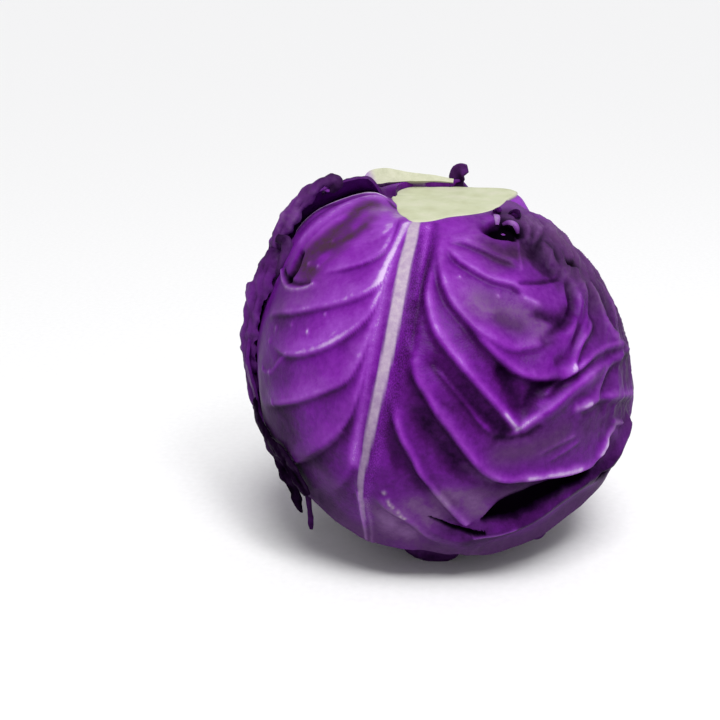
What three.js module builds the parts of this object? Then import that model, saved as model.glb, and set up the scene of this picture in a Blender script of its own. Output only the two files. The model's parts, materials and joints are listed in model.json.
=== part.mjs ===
// A red cabbage, trimmed for sale and standing on its crown with the cut stalk up.
//
// The head is a stack of leaves round a firm heart. Every leaf is one thin closed sheet that is
// described on the head's own globe: an azimuth round the stalk (0 at the front, -Y, and growing
// towards +X), a polar angle down from the stalk, and a lift off the globe along its radius.
// A leaf lies over whatever leaves are under it, so its lift follows from their outlines.
//
// Millimetres and degrees, +Z up. The origin is the middle of the head's footprint, on the table.
import * as THREE from "three";

// ---- Driving dimensions ----
const GLOBE = {
  halfWidth: 72.4,
  up: { halfHeight: 68.5, roundness: 2.05 },
  down: { halfHeight: 69, roundness: 2.15 },
};
const REST_HEIGHT = 66.5; // the globe's centre above the table
const FLAT_SPOT_RADIUS = 21; // where the crown is pressed flat
const STALK_POLAR = 20; // roughly where the stalk's edge is
const SHOULDER = 60; // the polar angle that the leaves' cut bases stay above

// The heart's skin lies under the globe, and fills out towards the crown, where no leaf covers it.
const HEART_SKIN = { side: -6.8, crown: -1, from: 130, over: 40 };
const HEART_RINGS = [159, 150, 140, 130, 119, 108, 97, 86, 75, 64, 54, 46]; // polar angles
const HEART_TOP = 46;

const LEAF_THICKNESS = 1.5;
const LEAF_PITCH = 2.4; // from one leaf to the leaf that lies on it
const FIRST_LEAF_LIFT = 2; // from the heart's skin to the middle of the first leaf
// Beyond the edge of a covered leaf the upper leaf stays level for a little, then sinks again.
const COVER_MARGIN = 4.5;
const COVER_RAMP = 17;
const CLEARANCE = 0.8; // between a leaf's base and the stalk
const LEVEL_BAND = 9; // how far out from the stalk a leaf's base takes to reach its own height

// The knife cut across the stalk: its height on the axis and its slope down towards the front.
const CUT = { height: 67.9, slope: 0.075 };
const STALK_FOOT = { height: 54, bevel: 2, share: 0.88 };
const STALK_COLLAR = 2.5; // the straight wall under the cut
const CUT_BEVEL = 0.5;
// The cut face's outline as [azimuth, radius]: a blunt corner for each leaf base that was cut through.
const STALK_OUTLINE = [
  [-36, 22], [-20, 26], [10, 18.5], [55, 20.5], [100, 25], [121, 33.5],
  [150, 26], [188, 24.5], [207, 27.5], [250, 19.5], [280, 16.5],
];

// The head is fuller on its left shoulder, where thick leaf bases cross, and flatter on its right.
const SWELLINGS = [
  { azimuth: -95, polar: 33, lift: 8.5, wide: 42, tall: 18 },
  { azimuth: 98, polar: 68, lift: -3, wide: 46, tall: 32 },
];

const LEAF_COLOUR = 0x6a2a86;
const INNER_LEAF_COLOUR = 0x5a2570;
const STALK_COLOUR = 0xcfd3b0;

// ---- Small mathematics ----
const RAD = Math.PI / 180;
const clamp = (x, low, high) => Math.min(high, Math.max(low, x));
const mix = (a, b, t) => a + (b - a) * t;
const smooth = (t) => {
  const c = clamp(t, 0, 1);
  return c * c * (3 - 2 * c);
};
const bell = (x) => Math.exp(-x * x);
// An angle brought to -180..180.
const wrap = (angle) => angle - 360 * Math.round(angle / 360);

// A smooth curve through [position, value] pairs, flat beyond its ends.
function curveThrough(pairs) {
  return (x) => {
    const last = pairs.length - 1;
    if (x <= pairs[0][0]) return pairs[0][1];
    if (x >= pairs[last][0]) return pairs[last][1];
    const i = pairs.findIndex((pair) => pair[0] > x) - 1;
    const slopeAt = (k) => {
      const a = pairs[Math.max(k - 1, 0)];
      const b = pairs[Math.min(k + 1, last)];
      return (b[1] - a[1]) / (b[0] - a[0]);
    };
    const [x0, y0] = pairs[i];
    const [x1, y1] = pairs[i + 1];
    const w = x1 - x0;
    const t = (x - x0) / w;
    return (
      y0 * (1 + 2 * t) * (1 - t) ** 2 +
      y1 * t * t * (3 - 2 * t) +
      w * t * (1 - t) * (slopeAt(i) * (1 - t) - slopeAt(i + 1) * t)
    );
  };
}

// ---- The globe ----
const swelling = (azimuth, polar) =>
  SWELLINGS.reduce(
    (sum, s) =>
      sum + s.lift * bell(wrap(azimuth - s.azimuth) / s.wide) * bell((polar - s.polar) / s.tall),
    0,
  );

function globeRadius(azimuth, polar) {
  const half = polar < 90 ? GLOBE.up : GLOBE.down;
  const across = Math.abs(Math.sin(polar * RAD)) / GLOBE.halfWidth;
  const along = Math.abs(Math.cos(polar * RAD)) / half.halfHeight;
  const n = half.roundness;
  return (across ** n + along ** n) ** (-1 / n) + swelling(azimuth, polar);
}

function globePoint(azimuth, polar, lift) {
  const radius = globeRadius(azimuth, polar) + lift;
  const across = radius * Math.sin(polar * RAD);
  return new THREE.Vector3(
    across * Math.sin(azimuth * RAD),
    -across * Math.cos(azimuth * RAD),
    radius * Math.cos(polar * RAD),
  );
}

const heartLift = (polar) =>
  mix(HEART_SKIN.side, HEART_SKIN.crown, smooth((polar - HEART_SKIN.from) / HEART_SKIN.over));

// ---- The stalk ----
const aroundStalk = curveThrough([
  ...STALK_OUTLINE.slice(-2).map(([a, r]) => [a - 360, r]),
  ...STALK_OUTLINE,
  ...STALK_OUTLINE.slice(0, 2).map(([a, r]) => [a + 360, r]),
]);
const stalkRadius = (azimuth) =>
  aroundStalk(((((azimuth + 40) % 360) + 360) % 360) - 40);
const cutHeight = (y) => CUT.height + CUT.slope * y;

// Lathed with the cut level and one unit wide, then brought to the outline and the knife's slope.
function stalkGeometry() {
  const foot = STALK_FOOT.height + STALK_FOOT.bevel;
  const collar = CUT.height - STALK_COLLAR;
  const profile = [
    new THREE.Vector2(0, STALK_FOOT.height),
    new THREE.Vector2(STALK_FOOT.share, STALK_FOOT.height),
    new THREE.Vector2(1, foot),
    new THREE.Vector2(1, collar),
    new THREE.Vector2(1, CUT.height - CUT_BEVEL),
    new THREE.Vector2(0.975, CUT.height),
    new THREE.Vector2(0.5, CUT.height),
    new THREE.Vector2(0, CUT.height),
  ];
  const geometry = new THREE.LatheGeometry(profile, 44).rotateX(Math.PI / 2);
  const place = geometry.getAttribute("position");
  for (let i = 0; i < place.count; i++) {
    const z = place.getZ(i);
    const radius = stalkRadius(Math.atan2(place.getX(i), -place.getY(i)) / RAD);
    const x = place.getX(i) * radius;
    const y = place.getY(i) * radius;
    const tilt = smooth((z - foot) / (collar - foot));
    place.setXYZ(i, x, y, z + tilt * (cutHeight(y) - CUT.height));
  }
  return geometry;
}

// The heart, from its flat spot up to its rim under the stalk. A ring of the profile holds its
// polar angle as its height until it is laid on the globe.
function heartGeometry() {
  const profile = [
    new THREE.Vector2(0, -REST_HEIGHT),
    new THREE.Vector2(FLAT_SPOT_RADIUS, -REST_HEIGHT),
    ...HEART_RINGS.map((polar) => new THREE.Vector2(1, polar)),
    new THREE.Vector2(0, HEART_TOP),
  ];
  const geometry = new THREE.LatheGeometry(profile, 36).rotateX(Math.PI / 2);
  const place = geometry.getAttribute("position");
  for (let i = 0; i < place.count; i++) {
    const polar = HEART_RINGS[(i % profile.length) - 2];
    if (polar === undefined) continue;
    const azimuth = Math.atan2(place.getX(i), -place.getY(i)) / RAD;
    place.setXYZ(i, ...globePoint(azimuth, polar, heartLift(polar)).toArray());
  }
  return geometry;
}

// ---- The leaves, from the innermost to the outermost ----
// rib: the midrib's route, [polar, azimuth].
// reach: how far the blade runs each side of the rib, [polar, degrees]; right grows with azimuth.
// tip: the polar angle that the blade ends at on its rib; drop: how much earlier its corners end,
// and bow: how late along the edge that happens (1 is a straight edge).
// baseDepth: how far under the cut the leaf leaves the stalk.
// flare: how far each edge stands off, by polar angle, and how much of the blade takes part.
// curl: the radius that an edge rolls outwards with, by polar angle, from start (0 to 1) on.
const LEAVES = [
  {
    name: "inner_leaf_back", colour: INNER_LEAF_COLOUR, rows: 16, columns: 18,
    rib: [[20, 150], [150, 146]],
    right: { reach: [[20, 80], [150, 76]], drop: 26, bow: 2.4 },
    left: { reach: [[20, 80], [150, 78]], drop: 24, bow: 2.4 },
    tip: 150, baseDepth: 11.4,
  },
  {
    name: "inner_leaf_front", colour: INNER_LEAF_COLOUR, rows: 16, columns: 18,
    rib: [[20, 22], [150, 16]],
    right: { reach: [[20, 82], [150, 80]], drop: 26, bow: 2.4 },
    left: { reach: [[20, 82], [150, 80]], drop: 26, bow: 2.4 },
    tip: 153, baseDepth: 8.6,
  },
  {
    name: "inner_leaf_left", colour: INNER_LEAF_COLOUR, rows: 16, columns: 18,
    rib: [[20, -100], [150, -96]],
    right: { reach: [[20, 76], [150, 72]], drop: 25, bow: 2.4 },
    left: { reach: [[20, 76], [150, 72]], drop: 25, bow: 2.4 },
    tip: 149, baseDepth: 6.2,
  },
  {
    name: "leaf_right", colour: LEAF_COLOUR, rows: 16, columns: 20,
    rib: [[20, 116], [70, 112], [135, 104]],
    right: { reach: [[20, 74], [135, 70]], drop: 34, bow: 2.4 },
    left: { reach: [[20, 70], [135, 76]], drop: 14, bow: 2.4 },
    tip: 136, baseDepth: 3.8,
    tipFlare: { start: 0.84, lift: [[-1, 2.5], [-0.7, 4], [-0.4, 4], [0, 0.5], [0.2, 0]] },
  },
  {
    name: "leaf_front", colour: LEAF_COLOUR, rows: 22, columns: 26,
    rib: [[20, -17.5], [68, -17], [94, -20.5], [118, -25.5], [135, -28]],
    right: {
      reach: [[25, 116], [95, 88], [135, 84]], drop: 34, bow: 2.4,
      flare: { start: 0.86, lift: [[60, 0], [80, 1.5], [100, 2.5]] },
    },
    left: { reach: [[25, 94], [95, 46], [135, 40]], drop: 35, bow: 1.15 },
    tip: 130, baseDepth: 1.2,
    tipFlare: { start: 0.9, lift: [[-0.7, 0], [-0.1, 3], [0.5, 5.5], [0.8, 3.5], [1, 0.5]] },
  },
  {
    name: "leaf_back", colour: LEAF_COLOUR, rows: 20, columns: 26,
    rib: [[20, -160], [80, -163], [140, -166]],
    right: {
      reach: [[16, 48], [25, 56], [45, 70], [80, 82], [112, 96]], drop: 17, bow: 2.4,
      flare: { start: 0.55, lift: [[16, 4], [27, 7], [38, 6.5], [50, 5], [68, 3], [85, 0.5]] },
      curl: { start: 0.87, radius: [[20, 3.6], [50, 3.4], [70, 16], [90, 60]] },
    },
    left: {
      reach: [[16, 34], [30, 44], [55, 74], [130, 80]], drop: 36, bow: 2.4,
      flare: { start: 0.85, lift: [[30, 0], [60, 1.5], [110, 2]] },
    },
    tip: 138,
    // Its thick stub was cut higher than the stalk, highest at its left end, and it tore at its
    // right end. rise: [degrees from the rib, millimetres above the stalk's cut].
    stub: {
      clearance: 1.6, band: 12,
      rise: [[-34, 8], [-29, 3], [-10, 4], [20, 5.5], [36, 7.5], [43, 3], [48, 1]],
    },
  },
];

// Where a leaf's outline lies: how far outside it a place is, in millimetres (negative inside).
function beyondLeaf(leaf, azimuth, polar) {
  const away = wrap(azimuth - leaf.ribAt(polar));
  const side = away > 0 ? leaf.right : leaf.left;
  const reach = side.reachAt(polar);
  const share = Math.min(Math.abs(away) / reach, 1);
  const mmPerDegree = RAD * GLOBE.halfWidth;
  const past = (Math.abs(away) - reach) * Math.sin(polar * RAD) * mmPerDegree;
  const below = (polar - (leaf.tip - side.drop * share ** side.bow)) * mmPerDegree;
  return Math.max(past, below);
}

const cover = (leaf, azimuth, polar) =>
  1 - smooth((beyondLeaf(leaf, azimuth, polar) - COVER_MARGIN) / COVER_RAMP);

// The lift of a leaf that lies flat on those below it.
function lyingLift(index, azimuth, polar) {
  const below = LEAVES.slice(0, index);
  const stacked = below.reduce((sum, leaf) => sum + cover(leaf, azimuth, polar), 0);
  return heartLift(polar) + FIRST_LEAF_LIFT + LEAF_PITCH * stacked;
}

// The share of an edge's movement that a place takes part in, from start (0 to 1) to the edge.
const towardsEdge = (share, start) => (clamp((share - start) / (1 - start), 0, 1)) ** 2;

// The middle of a leaf's thickness. along: 0 at the stalk to 1 at the tip. across: -1 to 1.
function leafPoint(index, along, across) {
  const leaf = LEAVES[index];
  const side = across > 0 ? leaf.right : leaf.left;
  const share = Math.abs(across);
  const sign = Math.sign(across);

  const baseAzimuth = leaf.ribAt(STALK_POLAR) + across * side.reachAt(STALK_POLAR);
  const clearance = leaf.stub ? leaf.stub.clearance : CLEARANCE;
  const wall = stalkRadius(baseAzimuth) + clearance + LEAF_THICKNESS / 2;
  const baseRadius =
    globeRadius(baseAzimuth, STALK_POLAR) + lyingLift(index, baseAzimuth, STALK_POLAR);
  const topPolar = Math.asin(wall / baseRadius) / RAD;
  const endPolar = leaf.tip - side.drop * share ** side.bow;
  const polar = mix(topPolar, endPolar, along);

  const reach = side.reachAt(polar);
  const reachMm = reach * RAD * GLOBE.halfWidth * Math.sin(polar * RAD);
  let edge = share;
  let lift = 0;
  if (side.curl && share > side.curl.start) {
    const radius = side.curl.radiusAt(polar);
    const turn = ((share - side.curl.start) * reachMm) / radius;
    edge = side.curl.start + (radius * Math.sin(turn)) / reachMm;
    lift += radius * (1 - Math.cos(turn));
  }
  const azimuth = leaf.ribAt(polar) + sign * edge * reach;
  lift += lyingLift(index, azimuth, polar);
  if (side.flare) lift += side.flare.liftAt(polar) * towardsEdge(edge, side.flare.start);
  if (leaf.tipFlare) {
    lift += leaf.tipFlare.liftAt(across) * towardsEdge(along, leaf.tipFlare.start);
  }
  const place = globePoint(azimuth, polar, lift);

  // Round the stalk every leaf runs in level with where it was cut.
  const out = Math.hypot(place.x, place.y) - wall;
  const band = leaf.stub ? leaf.stub.band : LEVEL_BAND;
  const near = polar < SHOULDER ? 1 - smooth(out / band) : 0;
  const rise = leaf.stub
    ? leaf.stub.riseAt(wrap(azimuth - leaf.ribAt(STALK_POLAR)))
    : -leaf.baseDepth;
  const level = cutHeight(place.y) + rise - LEAF_THICKNESS / 2;
  place.z = mix(place.z, level, near);
  return place;
}

// A closed sheet of even thickness about a grid of points, rows by columns.
function sheetGeometry(rows, columns, pointAt, thickness) {
  const middle = [];
  for (let i = 0; i < rows; i++)
    for (let j = 0; j < columns; j++) {
      // Rows close up towards the stalk and columns towards the edges.
      const t = i / (rows - 1);
      const s = (2 * j) / (columns - 1) - 1;
      middle.push(pointAt(t * (0.7 + 0.3 * t), s * (1.25 - 0.25 * s * s)));
    }
  const at = (i, j) => middle[clamp(i, 0, rows - 1) * columns + clamp(j, 0, columns - 1)];
  const outer = [];
  const inner = [];
  for (let i = 0; i < rows; i++)
    for (let j = 0; j < columns; j++) {
      const down = at(i + 1, j).clone().sub(at(i - 1, j));
      const along = at(i, j + 1).clone().sub(at(i, j - 1));
      const out = down.cross(along).normalize().multiplyScalar(thickness / 2);
      outer.push(at(i, j).clone().add(out));
      inner.push(at(i, j).clone().sub(out));
    }
  const count = rows * columns;
  const faces = [];
  const quad = (a, b, c, d) => faces.push(a, b, c, a, c, d);
  for (let i = 0; i < rows - 1; i++)
    for (let j = 0; j < columns - 1; j++) {
      const a = i * columns + j;
      const b = a + columns;
      quad(a, b, b + 1, a + 1);
      quad(count + a, count + a + 1, count + b + 1, count + b);
    }
  // The rim runs once round the grid and joins the two faces.
  const rim = [];
  for (let j = 0; j < columns - 1; j++) rim.push(j);
  for (let i = 0; i < rows - 1; i++) rim.push(i * columns + columns - 1);
  for (let j = columns - 1; j > 0; j--) rim.push((rows - 1) * columns + j);
  for (let i = rows - 1; i > 0; i--) rim.push(i * columns);
  rim.forEach((a, k) => {
    const b = rim[(k + 1) % rim.length];
    quad(a, b, count + b, count + a);
  });
  const geometry = new THREE.BufferGeometry().setFromPoints([...outer, ...inner]);
  geometry.setIndex(faces);
  geometry.computeVertexNormals();
  return geometry;
}

function prepare(leaf) {
  leaf.ribAt = curveThrough(leaf.rib);
  for (const side of [leaf.left, leaf.right]) {
    side.reachAt = curveThrough(side.reach);
    if (side.flare) side.flare.liftAt = curveThrough(side.flare.lift);
    if (side.curl) side.curl.radiusAt = curveThrough(side.curl.radius);
  }
  if (leaf.tipFlare) leaf.tipFlare.liftAt = curveThrough(leaf.tipFlare.lift);
  if (leaf.stub) leaf.stub.riseAt = curveThrough(leaf.stub.rise);
}

// ---- Assembly ----
const cabbage = new THREE.Group();

function addPiece(name, geometry, colour, roughness) {
  const material = new THREE.MeshStandardMaterial({ color: colour, roughness, metalness: 0 });
  const mesh = new THREE.Mesh(geometry, material);
  mesh.name = name;
  cabbage.add(mesh);
}

LEAVES.forEach(prepare);
addPiece("stalk", stalkGeometry(), STALK_COLOUR, 0.55);
addPiece("heart", heartGeometry(), INNER_LEAF_COLOUR, 0.45);
LEAVES.forEach((leaf, index) =>
  addPiece(
    leaf.name,
    sheetGeometry(leaf.rows, leaf.columns, (u, v) => leafPoint(index, u, v), LEAF_THICKNESS),
    leaf.colour,
    0.45,
  ),
);

// The origin is put under the middle of the whole head, on the table.
const box = new THREE.Box3().setFromObject(cabbage);
const middle = box.getCenter(new THREE.Vector3());
cabbage.position.set(-middle.x, -middle.y, -box.min.z);

export default cabbage;
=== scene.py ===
"""A red cabbage, trimmed for sale and standing on its crown with the cut stalk up.

The head is a stack of leaves round a firm heart. Each leaf is one closed sheet that is worked out on
the head's own globe: an azimuth round the stalk (degrees, 0 at the front and growing to the right), a
polar angle down from the stalk, and a lift off the globe. Millimetres about the head's centre are used
throughout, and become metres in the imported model's frame when a mesh is made.
"""

import json
import logging
import math
from collections.abc import Callable
from dataclasses import dataclass
from enum import Enum, IntEnum
from typing import ClassVar

import bpy
import numpy as np
from mathutils import Matrix, Vector


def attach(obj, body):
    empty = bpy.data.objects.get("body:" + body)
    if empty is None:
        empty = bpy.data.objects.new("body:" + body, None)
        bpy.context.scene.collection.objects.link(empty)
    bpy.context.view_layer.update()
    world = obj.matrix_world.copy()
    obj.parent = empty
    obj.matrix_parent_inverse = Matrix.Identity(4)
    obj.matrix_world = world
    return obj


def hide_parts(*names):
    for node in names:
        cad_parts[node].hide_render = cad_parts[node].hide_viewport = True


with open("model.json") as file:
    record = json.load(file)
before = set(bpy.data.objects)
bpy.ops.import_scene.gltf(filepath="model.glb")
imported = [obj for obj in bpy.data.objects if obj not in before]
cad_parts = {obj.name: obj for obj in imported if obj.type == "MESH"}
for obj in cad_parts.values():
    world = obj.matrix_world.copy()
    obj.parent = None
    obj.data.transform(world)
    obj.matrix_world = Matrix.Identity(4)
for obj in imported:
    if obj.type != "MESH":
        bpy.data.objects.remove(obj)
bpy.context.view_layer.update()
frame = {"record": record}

Array = np.ndarray
Points = tuple[tuple[float, float], ...]

LOG = logging.getLogger("red_cabbage")
RAD = math.pi / 180
MM = 0.001
REST_HEIGHT = 66.5  # the globe's centre above the table, mm


def head_centre() -> Array:
    """The globe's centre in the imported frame, mm: over the crown rest, at the rest height."""
    mounts = {mount["name"]: mount for mount in frame["record"]["mounts"]}
    x, y, z = mounts["crown_rest"]["pos_m"]
    return np.array([x / MM, y / MM, z / MM + REST_HEIGHT])


HEAD_CENTRE = head_centre()


# ---------------------------------------------------------------- small mathematics


def smooth(t: Array) -> Array:
    """An eased step: 0 below 0, 1 above 1, and 3t^2 - 2t^3 between."""
    c = np.clip(t, 0.0, 1.0)
    return c * c * (3.0 - 2.0 * c)


def bell(x: Array) -> Array:
    """A soft bump, exp(-x^2)."""
    return np.exp(-np.square(x))


def mix(a: Array, b: Array, t: Array) -> Array:
    """The value a share t of the way from a to b."""
    return a + (b - a) * t


def wrap(angle: Array) -> Array:
    """An angle in degrees brought to -180..180."""
    return angle - 360.0 * np.round(angle / 360.0)


def unit(v: Array) -> Array:
    """Vectors along the last axis scaled to length 1."""
    return v / np.maximum(np.linalg.norm(v, axis=-1, keepdims=True), 1e-12)


@dataclass(frozen=True)
class Curve:
    """A smooth curve through (position, value) pairs, flat beyond its ends.

    Between two pairs it is the cubic whose slope at each pair is that of the line through the pair's
    two neighbours.
    """

    pairs: Points

    def __call__(self, x: Array) -> Array:
        """The curve's values.

        Args:
            x: positions, any shape.

        Returns:
            Values of the same shape.
        """
        px, py = np.array(self.pairs, float).T
        if len(px) == 1:
            return np.full(np.shape(x), py[0])
        ahead = np.minimum(np.arange(len(px)) + 1, len(px) - 1)
        behind = np.maximum(np.arange(len(px)) - 1, 0)
        slope = (py[ahead] - py[behind]) / (px[ahead] - px[behind])
        x = np.clip(x, px[0], px[-1])
        i = np.clip(np.searchsorted(px, x, side="right") - 1, 0, len(px) - 2)
        w = px[i + 1] - px[i]
        t = (x - px[i]) / w
        straight = py[i] * (1 + 2 * t) * (1 - t) ** 2 + py[i + 1] * t * t * (3 - 2 * t)
        return straight + w * t * (1 - t) * (slope[i] * (1 - t) - slope[i + 1] * t)


class Seed(IntEnum):
    """The seeds of the noise that the whole head shares."""

    HEART_SKIN = 3
    CUT_FACE = 5
    MOTTLE = 7
    WAX = 19
    STROKE_BORDER = 41
    SPECK_SIZE = 43
    FOLD_HIGHLIGHT = 47
    LEAF_END = 61
    LEAF_SIDE = 62


@dataclass(frozen=True)
class Lattice:
    """Seeded smooth noise from -1 to 1: random values on a repeating grid of unit cells, eased between."""

    seed: int
    size: int = 32

    def __call__(self, p: Array) -> Array:
        """Noise at places.

        Args:
            p: places in cells, shape (..., 3).

        Returns:
            Noise of shape (...).
        """
        values = np.random.default_rng(self.seed).uniform(-1.0, 1.0, (self.size,) * 3)
        low = np.floor(p).astype(int)
        t = smooth(p - low)
        total = np.zeros(p.shape[:-1])
        for corner in range(8):
            bit = np.array([corner & 1, corner >> 1 & 1, corner >> 2 & 1])
            weight = np.prod(np.where(bit == 1, t, 1.0 - t), axis=-1)
            x, y, z = np.moveaxis((low + bit) % self.size, -1, 0)
            total += weight * values[x, y, z]
        return total

    def layered(self, p: Array, octaves: int) -> Array:
        """Noise with finer, fainter layers on it: each has half the cell and half the height."""
        layers = [self(p * 2.0**k + 7.3 * k) * 0.5**k for k in range(octaves)]
        return np.sum(layers, axis=0) / 1.5


# ---------------------------------------------------------------- the head's form


@dataclass(frozen=True)
class Swelling:
    """A broad rise of the whole head, or a dip where lift is negative: lift x bell x bell."""

    azimuth: float
    polar: float
    lift: float
    wide: float  # degrees of azimuth
    tall: float  # degrees of polar angle

    def __call__(self, azimuth: Array, polar: Array) -> Array:
        """The rise in mm."""
        across = bell(wrap(azimuth - self.azimuth) / self.wide)
        return self.lift * across * bell((polar - self.polar) / self.tall)


@dataclass(frozen=True)
class HeadForm:
    """The globe that every leaf lies round: a superellipse of revolution with swellings."""

    half_width: float = 72.4
    up_height: float = 68.5
    up_roundness: float = 2.05
    down_height: float = 69.0
    down_roundness: float = 2.15
    shapes: tuple[Callable[[Array, Array], Array], ...] = ()

    @property
    def mm_per_degree(self) -> float:
        """Surface length of a degree at the equator."""
        return RAD * self.half_width

    def radius(self, azimuth: Array, polar: Array) -> Array:
        """Distance from the centre to the globe.

        Args:
            azimuth: degrees round the stalk.
            polar: degrees down from the stalk.

        Returns:
            ((|sin p| / half width)^n + (|cos p| / half height)^n)^(-1/n), plus every swelling.
        """
        height = np.where(polar < 90, self.up_height, self.down_height)
        n = np.where(polar < 90, self.up_roundness, self.down_roundness)
        across = np.abs(np.sin(polar * RAD)) / self.half_width
        along = np.abs(np.cos(polar * RAD)) / height
        total = (across**n + along**n) ** (-1.0 / n)
        for shape in self.shapes:
            total = total + shape(azimuth, polar)
        return total

    def place(self, azimuth: Array, polar: Array, lift: Array | float = 0.0) -> Array:
        """Places on the globe, or lifted off it along the radius.

        Args:
            azimuth: degrees round the stalk.
            polar: degrees down from the stalk.
            lift: mm off the globe.

        Returns:
            Places as (..., 3) in mm.
        """
        r = self.radius(azimuth, polar) + lift
        across = r * np.sin(polar * RAD)
        x = across * np.sin(azimuth * RAD)
        y = -across * np.cos(azimuth * RAD)
        return np.stack([x, y, r * np.cos(polar * RAD) + 0.0 * x], axis=-1)


HEAD = HeadForm(
    shapes=(
        Swelling(-95, 35, 9.0, 42, 20),
        Swelling(-93, 64, 4.2, 28, 38),
        Swelling(98, 68, -3, 46, 32),
    )
)


def heart_lift(polar: Array) -> Array:
    """How far the heart's skin lies from the globe, mm: deep at the side, almost flush at the crown."""
    return mix(-6.8, -1.0, smooth((polar - 130.0) / 40.0))


@dataclass(frozen=True)
class KnifeCut:
    """The knife cut across the stalk, and the outline of the bases that it went through."""

    height: float = 67.9
    slope: float = 0.075
    outline: Points = (
        (-36, 22), (-20, 26), (10, 18.5), (55, 20.5), (100, 25), (121, 33.5),
        (150, 26), (188, 24.5), (207, 27.5), (250, 19.5), (280, 16.5),
    )

    def level(self, y: Array) -> Array:
        """The cut's height at a distance y behind the centre, mm."""
        return self.height + self.slope * y

    def radius(self, azimuth: Array) -> Array:
        """The outline's radius, a closed smooth curve through its corners.

        Args:
            azimuth: degrees round the stalk.

        Returns:
            The radius in mm.
        """
        before = tuple((a - 360, r) for a, r in self.outline[-2:])
        after = tuple((a + 360, r) for a, r in self.outline[:2])
        return Curve(before + self.outline + after)((azimuth + 40.0) % 360.0 - 40.0)


CUT = KnifeCut()


# ---------------------------------------------------------------- relief and tints


class Tint(Enum):
    """The tints that a leaf's skin carries from place to place, each a number at every vertex."""

    TONE = "tone"  # 0 black-purple, 0.5 full purple, 1 pale lilac; also carries painted highlight and painted shade
    BLOOM = "bloom"  # grey wax and dried skin
    SCUFF = "scuff"  # bruised, rubbed streaks
    RIB = "rib"  # pale midrib
    FLESH = "flesh"  # knife-cut flesh
    GRAIN = "grain"  # fine pale streaks beside the midrib


class Skin:
    """A leaf's relief in mm and its tints, gathered over one grid."""

    def __init__(self, shape: tuple[int, ...], tone: float) -> None:
        """Starts flat, in one tone.

        Args:
            shape: the grid's shape.
            tone: the starting tone.
        """
        self.lift = np.zeros(shape)
        self.tints = {tint: np.zeros(shape) for tint in Tint}
        self.tints[Tint.TONE] += tone

    def add(self, mask: Array, lift: float = 0.0, **tints: float) -> None:
        """Adds to the relief and to named tints where mask is.

        Args:
            mask: 0 to 1 over the grid.
            lift: mm at full mask.
            tints: the amount for each tint at full mask, named in lower case.
        """
        self.lift += lift * mask
        for name, amount in tints.items():
            self.tints[Tint(name)] += amount * mask

    def at_ends(self) -> dict[Tint, Array]:
        """The tints' means over the first row and over the last one, for the poles of a round piece."""
        return {tint: np.array([v[0].mean(), v[-1].mean()]) for tint, v in self.tints.items()}

    def settle(self, tint: Tint, value: float, mask: Array) -> None:
        """Moves a tint towards a value where mask is."""
        self.tints[tint] = mix(self.tints[tint], value, mask)


@dataclass(frozen=True)
class Route:
    """A line on the head through (azimuth, polar) points."""

    points: Points

    STEP: ClassVar[float] = 0.7  # mm between samples
    REACH: ClassVar[float] = 30.0  # mm beyond which nothing is measured

    def samples(self) -> tuple[Array, Array, Array, Array]:
        """The line as close samples.

        Returns:
            Places, tangents, unit vectors that point below the line, and lengths from its start.
        """
        azimuth, polar = np.array(self.points, float).T
        east = np.diff(azimuth) * np.sin((polar[1:] + polar[:-1]) / 2 * RAD)
        chord = np.concatenate([[0.0], np.cumsum(np.hypot(east, np.diff(polar)))])
        count = max(int(chord[-1] * HEAD.mm_per_degree / self.STEP), 3)
        t = np.linspace(0.0, chord[-1], count)
        a = Curve(tuple(zip(chord, azimuth)))(t)
        p = Curve(tuple(zip(chord, polar)))(t)
        place = HEAD.place(a, p)
        tangent = unit(np.gradient(place, axis=0))
        leftwards = 1.0 if azimuth[-1] < azimuth[0] else -1.0
        below = leftwards * np.cross(unit(place), tangent)
        length = np.concatenate([[0.0], np.cumsum(np.linalg.norm(np.diff(place, axis=0), axis=1))])
        return place, tangent, below, length

    def measure(self, spots: Array) -> tuple[Array, Array, float]:
        """How places lie to the line, by their nearest sample.

        Args:
            spots: places on the globe, (..., 3).

        Returns:
            Millimetres below the line (negative above it), millimetres along it (negative before its
            start), and its length.
        """
        place, tangent, below, length = self.samples()
        flat = spots.reshape(-1, 3)
        centre = place.mean(axis=0)
        span = np.linalg.norm(place - centre, axis=1).max() + self.REACH
        near = np.flatnonzero(np.linalg.norm(flat - centre, axis=1) < span)
        down = np.full(len(flat), 999.0)
        along = np.full(len(flat), -999.0)
        close = flat[near].astype(np.float32)
        knots = place.astype(np.float32)
        gap = np.sum(knots**2, axis=1) - 2.0 * close @ knots.T
        k = np.argmin(gap, axis=1)
        offset = flat[near] - place[k]
        down[near] = np.sum(offset * below[k], axis=1)
        along[near] = length[k] + np.sum(offset * tangent[k], axis=1)
        return down.reshape(spots.shape[:-1]), along.reshape(spots.shape[:-1]), float(length[-1])


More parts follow.
